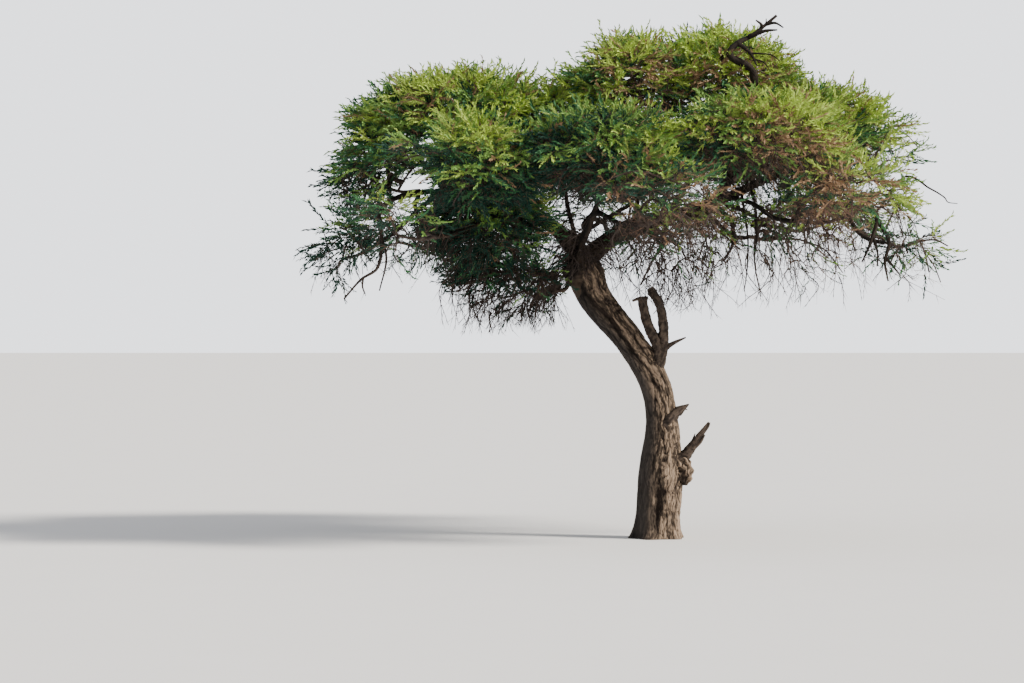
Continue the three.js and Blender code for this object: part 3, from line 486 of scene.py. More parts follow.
def distance_to_stretches(starts, ends, stretches):
    """The shortest distance from each straight span to each stretch of limb, as rows and columns."""
    span = (ends - starts)[:, None]
    stretch = (stretches.end - stretches.start)[None]
    apart = starts[:, None] - stretches.start[None]
    span_size, stretch_size = (span * span).sum(-1), (stretch * stretch).sum(-1)
    both, on_span, on_stretch = (span * stretch).sum(-1), (span * apart).sum(-1), (stretch * apart).sum(-1)
    whole = np.maximum(span_size * stretch_size - both * both, 1e-12)
    share = np.clip((both * on_stretch - on_span * stretch_size) / whole, 0, 1)
    other = np.clip((both * share + on_stretch) / stretch_size, 0, 1)
    share = np.clip((both * other - on_span) / span_size, 0, 1)
    return sizes_of(apart + share[..., None] * span - other[..., None] * stretch)


# The crown's spaces

def outline_share(mass, points):
    """1 on a mass's outline, which is half an ellipsoid above its middle and half of another below it."""
    away = points - mass.middle
    height = np.where(away[..., 2] > 0, mass.rise, mass.drop)
    flat = (away[..., 0] / mass.half[0]) ** 2 + (away[..., 1] / mass.half[1]) ** 2
    return np.sqrt(flat + (away[..., 2] / height) ** 2)


def claim(mass, points):
    """How weakly a mass holds points: their distance squared, less its own size squared."""
    away = (points - mass.middle) * (1, 1, FLATNESS)
    return (away * away).sum(-1) - mass.half[0] * mass.half[1]


def in_own_space(mass, points, margin, reach=1.0):
    """Whether points lie in a mass's outline and on its side of every neighbour's border."""
    inside = outline_share(mass, points) <= reach
    own = claim(mass, points)
    for other in MASSES:
        if other is mass:
            continue
        apart = (other.middle - mass.middle) * (1, 1, FLATNESS * FLATNESS)
        inside = inside & ((claim(other, points) - own) / (2 * np.linalg.norm(apart)) > margin)
    return inside


def on_outline(mass, height, bearing, share):
    """A place a share of the way out to a mass's outline, at a height from -1 to 1 and a bearing."""
    level = np.sqrt(1 - height * height)
    tall = np.where(height > 0, mass.rise, mass.drop)
    across = mass.half[0] * level * np.cos(bearing)
    deep = mass.half[1] * level * np.sin(bearing)
    return np.stack([across, deep, tall * height], -1) * np.asarray(share)[..., None] + mass.middle


def drawn_in(mass, height, bearing, share, margin):
    """The same place, drawn in until it lies in the mass's own space."""
    place = on_outline(mass, height, bearing, share)
    while share > DRAW_IN.least and not in_own_space(mass, place, margin):
        share -= DRAW_IN.step
        place = on_outline(mass, height, bearing, share)
    return place


def crown_shell(points):
    """How deep in the crown as a whole points lie, 1 at its surface, and the way out from there."""
    depth = np.zeros(points.shape[:-1])
    outward = np.zeros(points.shape)
    for mass in MASSES:
        away = points - mass.middle
        height = np.where(away[..., 2] > 0, mass.rise, mass.drop)
        flat = [np.full(height.shape, half) for half in mass.half]
        size = np.stack([*flat, height], -1)
        part = np.exp(-2 * (((away / size) ** 2).sum(-1) - 1))
        depth += part
        outward += part[..., None] * away / size**2
    return depth, unit(outward)


def patch_share(points, patches):
    """1 in the middle of a patch, falling to 0 beyond its radius."""
    shares = []
    for *middle, radius in patches:
        away = sizes_of(points - np.array(middle))
        shares.append(np.exp(-2 * (away / radius) ** 2))
    return np.max(shares, axis=0)


def in_sky_gap(points):
    flat = points[..., [0, 2]]
    gaps = [sizes_of(flat - np.array(middle)) < radius for *middle, radius in SKY_GAPS]
    return np.any(gaps, axis=0)


def clump_of(points):
    """Positive within a clump of foliage and negative between clumps."""
    return sum(np.sin(points @ np.array(wave) + start) for wave, start in CLUMP_WAVES) / 2


# The limbs, by the rule of the solids

def trunk_limb():
    line = smooth_line([at for at, radius in TRUNK_STATIONS], TRUNK_RINGS)
    radii = smooth_radii([radius for at, radius in TRUNK_STATIONS], TRUNK_RINGS)
    return Named(name="trunk", mass=None, line=line, radii=radii, prongs=[])


def trunk_radius(radius, height, angle):
    """The bole's radius with its root flare, flutes, cleft and fold. The angle turns from +X to -Y."""
    lobe = mix(FLARE.least, FLARE.most, 0.5 + 0.5 * np.cos(FLARE.roots * angle + FLARE.turn))
    flare = lobe * np.exp(-np.maximum(height, 0) / FLARE.height)
    flutes = FLUTES.depth * np.cos(FLUTES.count * angle + height * FLUTES.twist)
    dips = []
    for part in (CLEFT, FOLD):
        away = ((angle - part.angle) / part.width) ** 2 + ((height - part.height) / part.reach) ** 2
        dips.append(part.depth * np.exp(-away))
    cut = sum(groove.depth * groove_share(groove, height, angle) for groove in GROOVES)
    return radius + flare + flutes - dips[0] + dips[1] - cut


def groove_share(groove, height, angle):
    """1 along the bottom of a groove, falling to 0 at its sides and ends."""
    low, high = groove.heights
    along = (height - low) / (high - low)
    middle = mix(*groove.angles, along) + 0.09 * np.sin(5.3 * height + 1) + 0.04 * np.sin(13 * height)
    ends = smoothstep(0, 0.12, along) * smoothstep(1, 0.88, along)
    return ends * np.exp(-(((angle - middle) / groove.width) ** 2))


def root_of(mass, start):
    """Where a bough from this start enters its mass."""
    towards = start - mass.middle
    towards = towards - UP * BOUGH_ENTRY.lower * np.linalg.norm(towards)
    whole = outline_share(mass, mass.middle + towards)
    share = min(BOUGH_ENTRY.outer, BOUGH_ENTRY.near * outline_share(mass, start))
    while share > BOUGH_ENTRY.least:
        root = mass.middle + towards * share / whole
        if in_own_space(mass, root, STEM_MARGIN):
            return root
        share -= DRAW_IN.step
    raise RuntimeError(mass.name + " has no room for its stem")


def hub_of(mass):
    """Where a mass's stem ends: above the middle of a curtain, and below the middle of any other."""
    return mass.middle + UP * (HUB.above * mass.rise if mass.kind == "curtain" else -HUB.below * mass.drop)


def carried(mass):
    """How many masses a bough carries, its own among them."""
    return 1 + sum(carried(other) for other in MASSES if other.source == mass.name)


def bough_radius(mass, share):
    own = mix(1, TIP_SHARE, share)
    for other in MASSES:
        if other.source == mass.name:
            own += min(max((other.at - share) / FORK_BLEND + 0.5, 0), 1) * carried(other)
    return BOUGH_RADIUS * math.sqrt(own)


def bough_limb(mass, parent, draw, finer=1):
    """A bough's line and radii. finer is how many times as many steps it has as the solid."""
    start = along_line(parent.line, mass.at)
    root = root_of(mass, start)
    reach = np.linalg.norm(root - start)
    leaving = unit(direction_along(parent.line, mass.at) + TURNING * unit(root - start))
    arriving = unit(hub_of(mass) - root)
    handles = [start, start + leaving * reach / 3, root - arriving * reach / 3, root]
    steps = max(FEWEST_STEPS, math.floor(reach / BOUGH_STEP + 0.5)) * finer
    bearing = draw() * 2 * math.pi
    waves = mix(CROOK.fewest, CROOK.most, draw())
    share = np.linspace(0, 1, steps + 1)[:, None]
    weights = [(1 - share) ** 3, 3 * share * (1 - share) ** 2, 3 * share**2 * (1 - share), share**3]
    line = sum(weight * handle for weight, handle in zip(weights, handles))
    sway = CROOK.size * reach * np.sin(math.pi * share) ** 2 * np.sin(waves * share + bearing)
    line = line + sway * np.array([math.cos(bearing), math.sin(bearing), CROOK.lift])
    radii = np.array([bough_radius(mass, step / steps) for step in range(steps + 1)])
    return Named(name=mass.name, mass=mass, line=line, radii=radii, prongs=[])


def dead_limb(piece, limbs, finer=1):
    line = list(piece.line)
    if piece.at:
        line.insert(0, tuple(along_line(limbs[piece.source].line, piece.at)))
    limb = tapered(line, piece.radius, (len(line) - 1) * 2 * finer)
    limb.name = piece.name
    limb.mass = None
    limb.prongs = [tapered(points, radius, (len(points) - 1) * 2 * finer) for points, radius in piece.prongs]
    return limb


@functools.cache
def grow_limbs():
    """The trunk, boughs and dead limbs by name, in the solids' own steps."""
    limbs = {"trunk": trunk_limb()}
    for index, mass in enumerate(MASSES):
        limbs[mass.name] = bough_limb(mass, limbs[mass.source], seeded(SEEDS.boughs + index))
    for piece in DEADWOOD:
        limbs[piece.name] = dead_limb(piece, limbs)
    return limbs


@functools.cache
def all_stretches():
    """Every limb's straight stretches with its widest radius there."""
    parts = [part for limb in grow_limbs().values() for part in [limb, *limb.prongs]]
    return Named(
        start=np.vstack([part.line[:-1] for part in parts]),
        end=np.vstack([part.line[1:] for part in parts]),
        radius=np.hstack([np.maximum(part.radii[:-1], part.radii[1:]) for part in parts]),
    )


def clear_of_limbs(starts, ends, half_width, mass):
    """Whether straight spans of this half width pass every limb near a mass."""
    stretches = all_stretches()
    middles = (stretches.start + stretches.end) / 2
    near = sizes_of(middles - mass.middle) < NEARBY * max(*mass.half, mass.rise, mass.drop)
    kept = Named(start=stretches.start[near], end=stretches.end[near])
    gap = stretches.radius[near] + half_width + LIMB_MARGIN
    return np.all(distance_to_stretches(starts, ends, kept) > gap, axis=-1)


# Twigs, by the rule of the solids and on to finer ones

def grow_stem(mass):
    bough = grow_limbs()[mass.name]
    root = bough.line[-1]
    radius = bough.radii[-1]
    ahead = direction_along(bough.line, 1)
    hub = hub_of(mass)
    shoulder = root + ahead * STEM_SHOULDER * np.linalg.norm(root - hub)
    line = np.array([root, root + ahead * 2 * radius, shoulder, hub])
    return Named(line=line, radii=np.array(STEM_TAPER) * radius)


def grow_first_twigs(mass, stem, draw):
    """The same twigs as the solid's: spread ends, each from the nearest joint that lies nearer the foot."""
    habit = mass.habit
    foot = stem.line[0]
    joints = [(stem.line[step], stem.radii[step]) for step in (2, 3)]
    turn = draw() * 2 * math.pi
    twigs = []
    places = 2 * habit.twigs
    for i in range(places):
        if len(twigs) == habit.twigs:
            break
        spot = 2 * i if i < habit.twigs else 2 * i - places + 1
        height = mix(habit.high, habit.low, (spot + 0.5) / places)
        bearing = turn + spot * GOLDEN_ANGLE + TWIG_JITTER.bearing * mix(-1, 1, draw())
        out = habit.ends + TWIG_JITTER.reach * draw()
        end = drawn_in(mass, np.array(height), bearing, out, TWIG_MARGIN)
        nearer = [joint for joint in joints if np.linalg.norm(joint[0] - foot) < np.linalg.norm(end - foot)]
        if not nearer:
            continue
        start, radius = min(nearer, key=lambda joint: np.linalg.norm(joint[0] - end))
        bend = mix(start, end, TWIG_BEND) + UP * habit.lift * np.linalg.norm(end - start)
        line = np.array([start, bend, end])
        radii = np.maximum(np.array(TWIG_TAPER) * radius, THINNEST_TWIG)
        if not np.all(in_own_space(mass, line, TWIG_MARGIN)):
            continue
        if not np.all(clear_of_limbs(line[:-1], line[1:], radii[0], mass)):
            continue
        twigs.append((line, radii))
        joints.append((bend, radii[1]))
    return twigs


def finer_ends(mass, per_cubic_metre, rng):
    """Ends for finer twigs, spread evenly through a mass's own space and a little way past its outline."""
    volume = 2 / 3 * math.pi * mass.half[0] * mass.half[1] * (mass.rise + mass.drop)
    count = int(volume * per_cubic_metre * mass.dress.crowding)
    spot = np.arange(count) + 0.5
    height = mix(FINER.top, -1, spot / count)
    if mass.kind == "curtain":
        height = mix(FINER.curtain_top, -1, (spot / count) ** FINER.curtain_crowd)
    share = mix(FINER.inmost, mass.dress.reach, rng.random(count) ** 0.5)
    ends = on_outline(mass, height, spot * GOLDEN_ANGLE, share)
    depth, outward = crown_shell(ends)
    least = mix(CLUMP_DEPTH, GAP_DEPTH, mass.dress.gaps * smoothstep(-0.05, 0.6, -clump_of(ends)))
    within = outline_share(mass, ends + SHOOT.room * outward) <= mass.dress.reach
    own = in_own_space(mass, ends, FINER.margin, mass.dress.reach)
    kept = (depth > least) & within & own & ~in_sky_gap(ends)
    return ends[kept]


def grow_finer_twigs(mass, stem, twigs, ends, tip_radius, rng):
    """Carry the rule on: each end leaves the nearest joint nearer the foot. Wood thickens with its load."""
    foot = stem.line[0]
    starts = [stem.line[2], stem.line[3]]
    for line, radii in twigs:
        starts += [mix(line[0], line[1], 0.6), line[1], mix(line[1], line[2], 0.5), line[2]]
    room = len(starts) + 2 * len(ends)
    places = np.zeros((room, 3))
    bearers = np.full(room, -1)
    used = len(starts)
    places[:used] = starts
    away = np.full(room, np.inf)
    away[:used] = sizes_of(places[:used] - foot)
    ends = ends[np.argsort(sizes_of(ends - foot))]
    hanging = mass.kind == "curtain"
    lines = np.zeros((len(ends), 3, 3))
    parents = np.full(len(ends), -1)
    for index, end in enumerate(ends):
        gap = places[:used] - end
        cost = (gap * gap).sum(-1)
        if hanging:
            upward = np.where(gap[:, 2] < 0, FINER.upward * gap[:, 2] ** 2, 0)
            cost = cost + FINER.sideways * (gap[:, 0] ** 2 + gap[:, 1] ** 2) + upward
        cost[away[:used] >= np.linalg.norm(end - foot)] += FINER.turning_back
        nearest = int(np.argmin(cost))
        start = places[nearest]
        reach = np.linalg.norm(end - start)
        wander = rng.normal(0, FINER.wander, 3) * reach
        bend = mix(start, end, TWIG_BEND) + UP * mass.habit.lift * reach + wander
        lines[index] = (start, bend, end)
        parents[index] = bearers[nearest]
        places[used : used + 2] = (bend, end)
        bearers[used : used + 2] = index
        away[used : used + 2] = sizes_of(places[used : used + 2] - foot)
        used += 2
    borne = np.ones(len(ends))
    for index in range(len(ends) - 1, -1, -1):
        if parents[index] >= 0:
            borne[parents[index]] += borne[index]
    thick = tip_radius * borne**FINER.thickening
    return lines, thick[:, None] * np.array(FINER.taper)


@functools.cache
def grow_crown(per_cubic_metre, tip_radius):
    """The stems, first twigs and finer twigs of every mass, and which mass each finer twig is in."""
    stems, firsts, finer, radii, owner = [], [], [], [], []
    for index, mass in enumerate(MASSES):
        rng = np.random.default_rng(SEEDS.finer + index)
        stem = grow_stem(mass)
        twigs = grow_first_twigs(mass, stem, seeded(SEEDS.masses + index))
        ends = finer_ends(mass, per_cubic_metre, rng)
        lines, thick = grow_finer_twigs(mass, stem, twigs, ends, tip_radius, rng)
        stems.append(stem)
        firsts += twigs
        finer.append(lines)
        radii.append(thick)
        owner += [index] * len(lines)
    lines, radii = np.vstack(finer), np.vstack(radii)
    return Named(stems=stems, firsts=firsts, lines=lines, radii=radii, owner=np.array(owner))


def by_mass(crown, key):
    """What each finer twig's mass is dressed with."""
    return np.array([getattr(mass.dress, key) for mass in MASSES])[crown.owner]


def grow_shoots(crown, seed):
    """Shoots from the outer part of each finer twig, by turns on its two sides and one from its end."""
    rng = np.random.default_rng(seed)
    leafy, bare = by_mass(crown, "leafy"), by_mass(crown, "bare")
    foot, bend, tip = crown.lines[:, 0], crown.lines[:, 1], crown.lines[:, 2]
    roots, aims, bears, lasts = [], [], [], []
    for order, share in enumerate(SHOOT.places):
        inner = share < 0.5
        start, end = (foot, bend) if inner else (bend, tip)
        root = mix(start, end, share * 2 if inner else share * 2 - 1)
        ahead = unit((end - start) * SHOOT.level)
        depth, outward = crown_shell(root)
        beside = unit(np.cross(ahead, UP) + 1e-6)
        last = order == len(SHOOT.places) - 1
        if last:
            turn = rng.uniform(-SHOOT.end_turn, SHOOT.end_turn, len(root))
        else:
            turn = (1 if order % 2 else -1) * rng.uniform(*SHOOT.turn, len(root))
        aim = ahead * np.cos(turn)[:, None] + beside * np.sin(turn)[:, None]
        dry = patch_share(root, DRY_PATCHES)
        chance = mix(leafy[:, 1], leafy[:, 0], smoothstep(LEAVING.under, LEAVING.over, outward[:, 2]))
        chance = chance * (1 - LEAVING.dry * dry) * mix(1, LEAVING.deep, smoothstep(*LEAVING.depths, depth))
        bear = rng.random(len(root)) < chance
        up = mix(*SHOOT.up, smoothstep(0.3, 0.95, outward[:, 2]))[:, None]
        arch = outward * SHOOT.out + UP * up
        lean = np.where(bear[:, None], arch, outward * SHOOT.bare_out - UP * SHOOT.bare_down)
        grown = bear | (rng.random(len(root)) < bare + BARE_IN_DRY * dry)
        grown = grown & (patch_share(root, CLEARED) < CLEARED_SHARE)
        roots.append(root[grown])
        aims.append(unit(aim + lean + rng.normal(0, SHOOT.jitter, root.shape))[grown])
        bears.append(bear[grown])
        lasts.append(np.full(grown.sum(), last))
    root, aim = np.vstack(roots), np.vstack(aims)
    return Named(root=root, aim=aim, leafy=np.hstack(bears), last=np.hstack(lasts))


def grow_strands(crown, seed):
    """Long bare twigs that arch out of the crown's lower side and hang, within its masses' own reach."""
    rng = np.random.default_rng(seed)
    bend, root = crown.lines[:, 1], crown.lines[:, 2]
    depth, outward = crown_shell(root)
    below = smoothstep(*STRAND.level, outward[:, 2]) * smoothstep(*STRAND.depths, depth)
    wave = np.sin(3.1 * root[:, 0] + 1.2) + np.sin(3.7 * root[:, 1] + 0.5 * root[:, 0])
    bundle = smoothstep(-1.1, 0.6, wave)
    chosen = rng.random(len(root)) < STRAND.share * by_mass(crown, "hanging") * below * bundle
    bend, root, owner = bend[chosen], root[chosen], crown.owner[chosen]
    level = unit((root - bend) * (1, 1, 0) + rng.normal(0, 0.02, root.shape))
    length = rng.uniform(*STRAND.length, len(root))
    bottom = np.array([mass.middle[2] - STRAND.below * mass.drop for mass in MASSES])[owner]
    longest = root[:, 2] - bottom + rng.uniform(-0.1, 0.15, len(root))
    length = np.minimum(length, np.maximum(longest, STRAND.least))[:, None, None]
    share = np.linspace(0, 1, STRAND.steps + 1)[None, :, None]
    out = level[:, None] * (share - 0.45 * share**2)
    turn = rng.normal(0, 1, (len(root), 1, 3)) * (1, 1, 0.2) * np.sin(share * math.pi * 1.3) * STRAND.sway
    curl = np.cross(level, UP)[:, None] * rng.normal(0, STRAND.curl, (len(root), 1, 1)) * share**2
    lines = root[:, None] + length * (STRAND.out * out - STRAND.down * UP * share**1.25 + turn + curl)
    return lines[in_room(lines).all(axis=1)]


def grow_limb_shoots(seed):
    """Bare twigs that sprout from the top of the trunk and along the boughs, and droop."""
    rng = np.random.default_rng(seed)
    roots, aims = [], []
    for limb in grow_limbs().values():
        if limb.mass is None and limb.name != "trunk":
            continue
        line = smooth_line(limb.line, SPROUT.samples)
        radii = spread(limb.radii, SPROUT.samples + 1)
        each = SPROUT.on_bough
        if limb.mass is None:
            keep = line[:, 2] > SPROUT.lowest
            line, radii, each = line[keep], radii[keep], SPROUT.on_trunk
        share = rng.random(int(step_lengths(line).sum() * each))
        if limb.mass is not None and limb.mass.source == "trunk":
            share = np.hstack([share, SPROUT.foot_share * rng.random(SPROUT.at_foot)])
        place = np.minimum((share * len(line)).astype(int), len(line) - 2)
        along = unit(line[place + 1] - line[place])
        away = unit(np.cross(along, rng.normal(size=along.shape)))
        roots.append(line[place] + away * SPROUT.rooted * radii[place, None])
        aims.append(unit(away + SPROUT.ahead * along + rng.normal(0, SPROUT.jitter, along.shape)))
    root, aim = np.vstack(roots), np.vstack(aims)[:, None]
    length = rng.uniform(*SPROUT.length, len(root))[:, None, None]
    share = np.linspace(0, 1, SPROUT.steps + 1)[None, :, None]
    bend = rng.normal(0, SPROUT.bend, (len(root), 1, 3)) * np.sin(math.pi * share)
    droop = SPROUT.droop * UP * share**2
    lines = root[:, None] + length * (aim * (share - 0.3 * share**2) - droop + bend)
    return lines[~in_sky_gap(lines[:, 2]) & ~in_sky_gap(lines[:, 3])]


def in_room(points):
    """Whether points pass the solids' own box by no more than a little."""
    return ((points > ROOM[0]) & (points < ROOM[1])).all(axis=-1)


def room_ahead(roots, aims):
    """How far a shoot may go before it passes the solids' own box by more than a little."""
    wall = np.where(aims > 0, ROOM[1], ROOM[0])
    distance = (wall - roots) / np.where(np.abs(aims) < 1e-6, 1e-6, aims)
    return np.maximum(np.min(distance, axis=-1), 0.02)


def side_spurs(lines, count, length, rng):
    """Starts and ends of short twigs by turns along many lines."""
    starts, ends = [], []
    steps = lines.shape[1] - 1
    for order in range(count):
        share = (order + 0.6 + rng.uniform(-0.3, 0.3)) / count
        step = min(int(share * steps), steps - 1)
        foot = mix(lines[:, step], lines[:, step + 1], share * steps - step)
        ahead = unit(lines[:, step + 1] - lines[:, step])
        sideways = unit(np.cross(ahead, rng.normal(size=ahead.shape)))
        aim = unit(ahead + SPUR.sideways * sideways - SPUR.droop * UP)
        reach = length * rng.uniform(*SPUR.length, len(foot)) * (1 - 0.4 * share)
        starts.append(foot)
        ends.append(foot + aim * reach[:, None])
    return np.vstack(starts), np.vstack(ends)


# Meshes

def make_mesh(name, points, faces, attributes=()):
    """An object at the origin from points and same-sided faces, with any per-point attributes."""
    mesh = bpy.data.meshes.new(name)
    points = np.asarray(points, np.float32)
    faces = np.asarray(faces, np.int32)
    mesh.vertices.add(len(points))
    mesh.vertices.foreach_set("co", points.ravel())
    if len(faces):
        mesh.loops.add(faces.size)
        mesh.loops.foreach_set("vertex_index", faces.ravel())
        mesh.polygons.add(len(faces))
        mesh.polygons.foreach_set("loop_start", np.arange(len(faces), dtype=np.int32) * faces.shape[1])
    add_attributes(mesh, attributes)
    mesh.update(calc_edges=True)
    mesh.validate()
    return new_object(name, mesh)


def new_object(name, data):
    thing = bpy.data.objects.new(name, data)
    bpy.context.scene.collection.objects.link(thing)
    return thing


def add_attributes(mesh, attributes):
    for key, values in dict(attributes).items():
        values = np.asarray(values, np.float32)
        kind, field = ("FLOAT_VECTOR", "vector") if values.ndim == 2 else ("FLOAT", "value")
        mesh.attributes.new(key, kind, "POINT").data.foreach_set(field, values.ravel())


def points_of(mesh):
    points = np.zeros(len(mesh.vertices) * 3, np.float32)
    mesh.vertices.foreach_get("co", points)
    return points.reshape(-1, 3)


def guide_for(whole):
    """A level direction for each line that is well off the line's own."""
    return np.where(np.abs(whole[:, :1]) > 0.7, [[0.0, 1.0, 0.0]], [[1.0, 0.0, 0.0]])


def rings_round(along, guide, sides):
    """Rings of unit spokes, each square to its direction."""
    side = unit(guide - along * (guide * along).sum(-1, keepdims=True))
    front = np.cross(along, side)
    angle = (np.arange(sides) * 2 * math.pi / sides)[:, None]
    return np.cos(angle) * side[..., None, :] + np.sin(angle) * front[..., None, :]


def tubes(lines, radii, sides):
    """Closed tubes round many lines of equally many points, as one set of points and triangles."""
    count, steps = lines.shape[:2]
    along = np.empty_like(lines)
    along[:, 1:-1] = lines[:, 2:] - lines[:, :-2]
    along[:, 0] = lines[:, 1] - lines[:, 0]
    along[:, -1] = lines[:, -1] - lines[:, -2]
    along = unit(along)
    guide = guide_for(unit(lines[:, -1] - lines[:, 0]))[:, None]
    points = lines[:, :, None] + rings_round(along, guide, sides) * radii[:, :, None, None]
    step, turn = np.meshgrid(np.arange(steps - 1), np.arange(sides), indexing="ij")
    step, turn, after = step.ravel(), turn.ravel(), (turn.ravel() + 1) % sides
    a, b = step * sides + turn, step * sides + after
    c, d = (step + 1) * sides + after, (step + 1) * sides + turn
    fan = np.arange(1, sides - 1)
    foot = np.stack([fan * 0, fan + 1, fan], -1)
    tip = np.stack([fan * 0, fan, fan + 1], -1) + (steps - 1) * sides
    faces = np.vstack([np.stack([a, b, c], -1), np.stack([a, c, d], -1), foot, tip])
    faces = faces[None] + (np.arange(count) * steps * sides)[:, None, None]
    return points.reshape(-1, 3), faces.reshape(-1, 3)


def spikes(starts, ends, radius):
    """Slim three-sided spikes, each closed at its foot and pointed at its end."""
    along = unit(ends - starts)
    foot = starts[:, None] + rings_round(along, guide_for(along), 3) * np.asarray(radius).reshape(-1, 1, 1)
    points = np.concatenate([foot, ends[:, None]], 1)
    faces = np.array([(0, 2, 1), (0, 1, 3), (1, 2, 3), (2, 0, 3)])
    faces = faces[None] + (np.arange(len(starts)) * 4)[:, None, None]
    return points.reshape(-1, 3), faces.reshape(-1, 3)


def join_parts(parts):
    """Several sets of points and faces as one."""
    offsets = np.cumsum([0] + [len(points) for points, faces in parts[:-1]])
    return (
        np.vstack([points for points, faces in parts]),
        np.vstack([faces + offset for (points, faces), offset in zip(parts, offsets)]),
    )


def evaluated_piece(thing, name):
    """A plain mesh of an object with its modifiers worked in. The object itself is removed."""
    graph = bpy.context.evaluated_depsgraph_get()
    seen = thing.evaluated_get(graph)
    mesh = bpy.data.meshes.new_from_object(seen, preserve_all_data_layers=True, depsgraph=graph)
    mesh.name = name
    piece = new_object(name, mesh)
    old = thing.data
    bpy.data.objects.remove(thing)
    bpy.data.meshes.remove(old)
    return piece


def limb_rings(part, spacing, sides, radius_at=None):
    """A limb as a closed tube of fine rings."""
    steps = max(6, int(step_lengths(part.line).sum() / spacing))
    line = smooth_line(part.line, steps)
    radii = smooth_radii(part.radii, steps)
    points, faces = tubes(line[None], np.ones((1, steps + 1)), sides)
    spokes = points.reshape(steps + 1, sides, 3) - line[:, None]
    angle = np.arctan2(-spokes[..., 1], spokes[..., 0])
    size = radii[:, None] if radius_at is None else radius_at(radii[:, None], line[:, None, 2], angle)
    return (line[:, None] + spokes * np.asarray(size)[..., None]).reshape(-1, 3), faces


def grain_of(points, parts, girth_floor=0.02, samples=60, nearest=6):
    """For points on limbs: their place as if the limb were straight, its girth, and the side they face."""
    places, rows = [], []
    for order, part in enumerate(parts):
        line = smooth_line(part.line, samples)
        radii = spread(part.radii, samples + 1)
        lengths = np.hstack([0, np.cumsum(step_lengths(line))])
        along = unit(np.gradient(line, axis=0))
        for step in range(samples + 1):
            places.append(line[step])
            rows.append((order, radii[step], lengths[step], *along[step]))
    places, rows = np.array(places), np.array(rows)
    tree = KDTree(len(places))
    for index, place in enumerate(places):
        tree.insert(place, index)
    tree.balance()
    best = np.empty(len(points), int)
    for index, point in enumerate(points):
        found = tree.find_n(point, nearest)
        best[index] = min(found, key=lambda hit: hit[2] - rows[hit[1], 1])[1]
    limb, radius, length, along = rows[best, 0], rows[best, 1], rows[best, 2], rows[best, 3:6]
    away = points - places[best]
    ahead = (away * along).sum(-1)
    across = away - along * ahead[:, None]
    side = unit(np.array([1.0, 0, 0]) - along * along[:, :1])
    front = np.cross(along, side)
    girth = np.maximum(radius, girth_floor)
    angle = np.arctan2((across * front).sum(-1), (across * side).sum(-1))
    grain = np.stack([girth * np.cos(angle) + 7 * limb, girth * np.sin(angle), length + ahead], -1)
    return grain, girth, angle


# Nodes

def add_node(tree, kind, inputs=(), **settings):
    """A node with its settings and its inputs, each a plain value or another node's output."""
    node = tree.nodes.new(kind)
    for key, value in settings.items():
        setattr(node, key, value)
    for key, value in dict(inputs).items():
        if isinstance(value, bpy.types.NodeSocket):
            tree.links.new(value, node.inputs[key])
        else:
            node.inputs[key].default_value = value
    return node


def add_output(tree, kind, inputs=(), output=0, **settings):
    """One output of a new node, by its number or name."""
    return add_node(tree, kind, inputs, **settings).outputs[output]


def add_math(tree, operation, *values):
    return add_output(tree, "ShaderNodeMath", enumerate(values), operation=operation)


def add_vector(tree, operation, *values):
    return add_output(tree, "ShaderNodeVectorMath", enumerate(values), operation=operation)


def add_scaled(tree, vector, scale):
    return add_output(tree, "ShaderNodeVectorMath", {0: vector, "Scale": scale}, operation="SCALE")


def add_xyz(tree, **parts):
    return add_output(tree, "ShaderNodeCombineXYZ", parts)


def add_noise(tree, place, scale, detail, output=0):
    inputs = {"Vector": place, "Scale": scale, "Detail": detail}
    return add_output(tree, "ShaderNodeTexNoise", inputs, output)


def add_range(tree, value, ends, way="LINEAR"):
    """A value taken from one range to another and kept within it."""
    return add_output(tree, "ShaderNodeMapRange", {"Value": value, **ends}, interpolation_type=way)


def add_swing(tree, value, middle, size):
    """How far a value is above its middle, made larger or smaller."""
    return add_math(tree, "MULTIPLY", add_math(tree, "SUBTRACT", value, middle), size)


def add_total(tree, parts):
    """The sum of values, each times its weight."""
    weighed = [add_math(tree, "MULTIPLY", value, weight) for value, weight in parts]
    return functools.reduce(lambda total, part: add_math(tree, "ADD", total, part), weighed)


def beside_lines(tree, noise):
    """0 along the wandering lines where a noise is at its middle, and more beside them."""
    return add_math(tree, "ABSOLUTE", add_math(tree, "SUBTRACT", noise, 0.5))


def new_tree(name, kind, inputs, outputs):
    """A node tree with named inputs and outputs, each a number as its default or the type of its socket."""
    tree = bpy.data.node_groups.new(name, kind)
    for side, sockets in (("INPUT", inputs), ("OUTPUT", outputs)):
        for label, value in sockets.items():
            number = {int: "Int", float: "Float"}.get(type(value))
            socket = tree.interface.new_socket(
                label, in_out=side, socket_type="NodeSocket" + (number or value)
            )
            if number:
                socket.default_value = value
    return tree, tree.nodes.new("NodeGroupInput").outputs, tree.nodes.new("NodeGroupOutput").inputs


def built_once(name):
    """Has a tree built the first time that it is asked for, and looked up by its name after that."""
    return lambda build: lambda: bpy.data.node_groups.get(name) or build()


def add_tree_modifier(thing, tree, values):
    """A Geometry Nodes modifier whose inputs are set by name."""
    modifier = thing.modifiers.new(tree.name, "NODES")
    modifier.node_group = tree
    for item in tree.interface.items_tree:
        if item.in_out == "INPUT" and item.name in values:
            modifier[item.identifier] = values[item.name]
    return modifier


def named_field(tree, name, kind="FLOAT"):
    return add_output(tree, "GeometryNodeInputNamedAttribute", {"Name": name}, data_type=kind)


def end_tree(tree, geometry, material, out):
    """The last node of every tree sets the material."""
    inputs = {"Geometry": geometry, "Material": material}
    tree.links.new(add_output(tree, "GeometryNodeSetMaterial", inputs), out["Geometry"])
    return tree


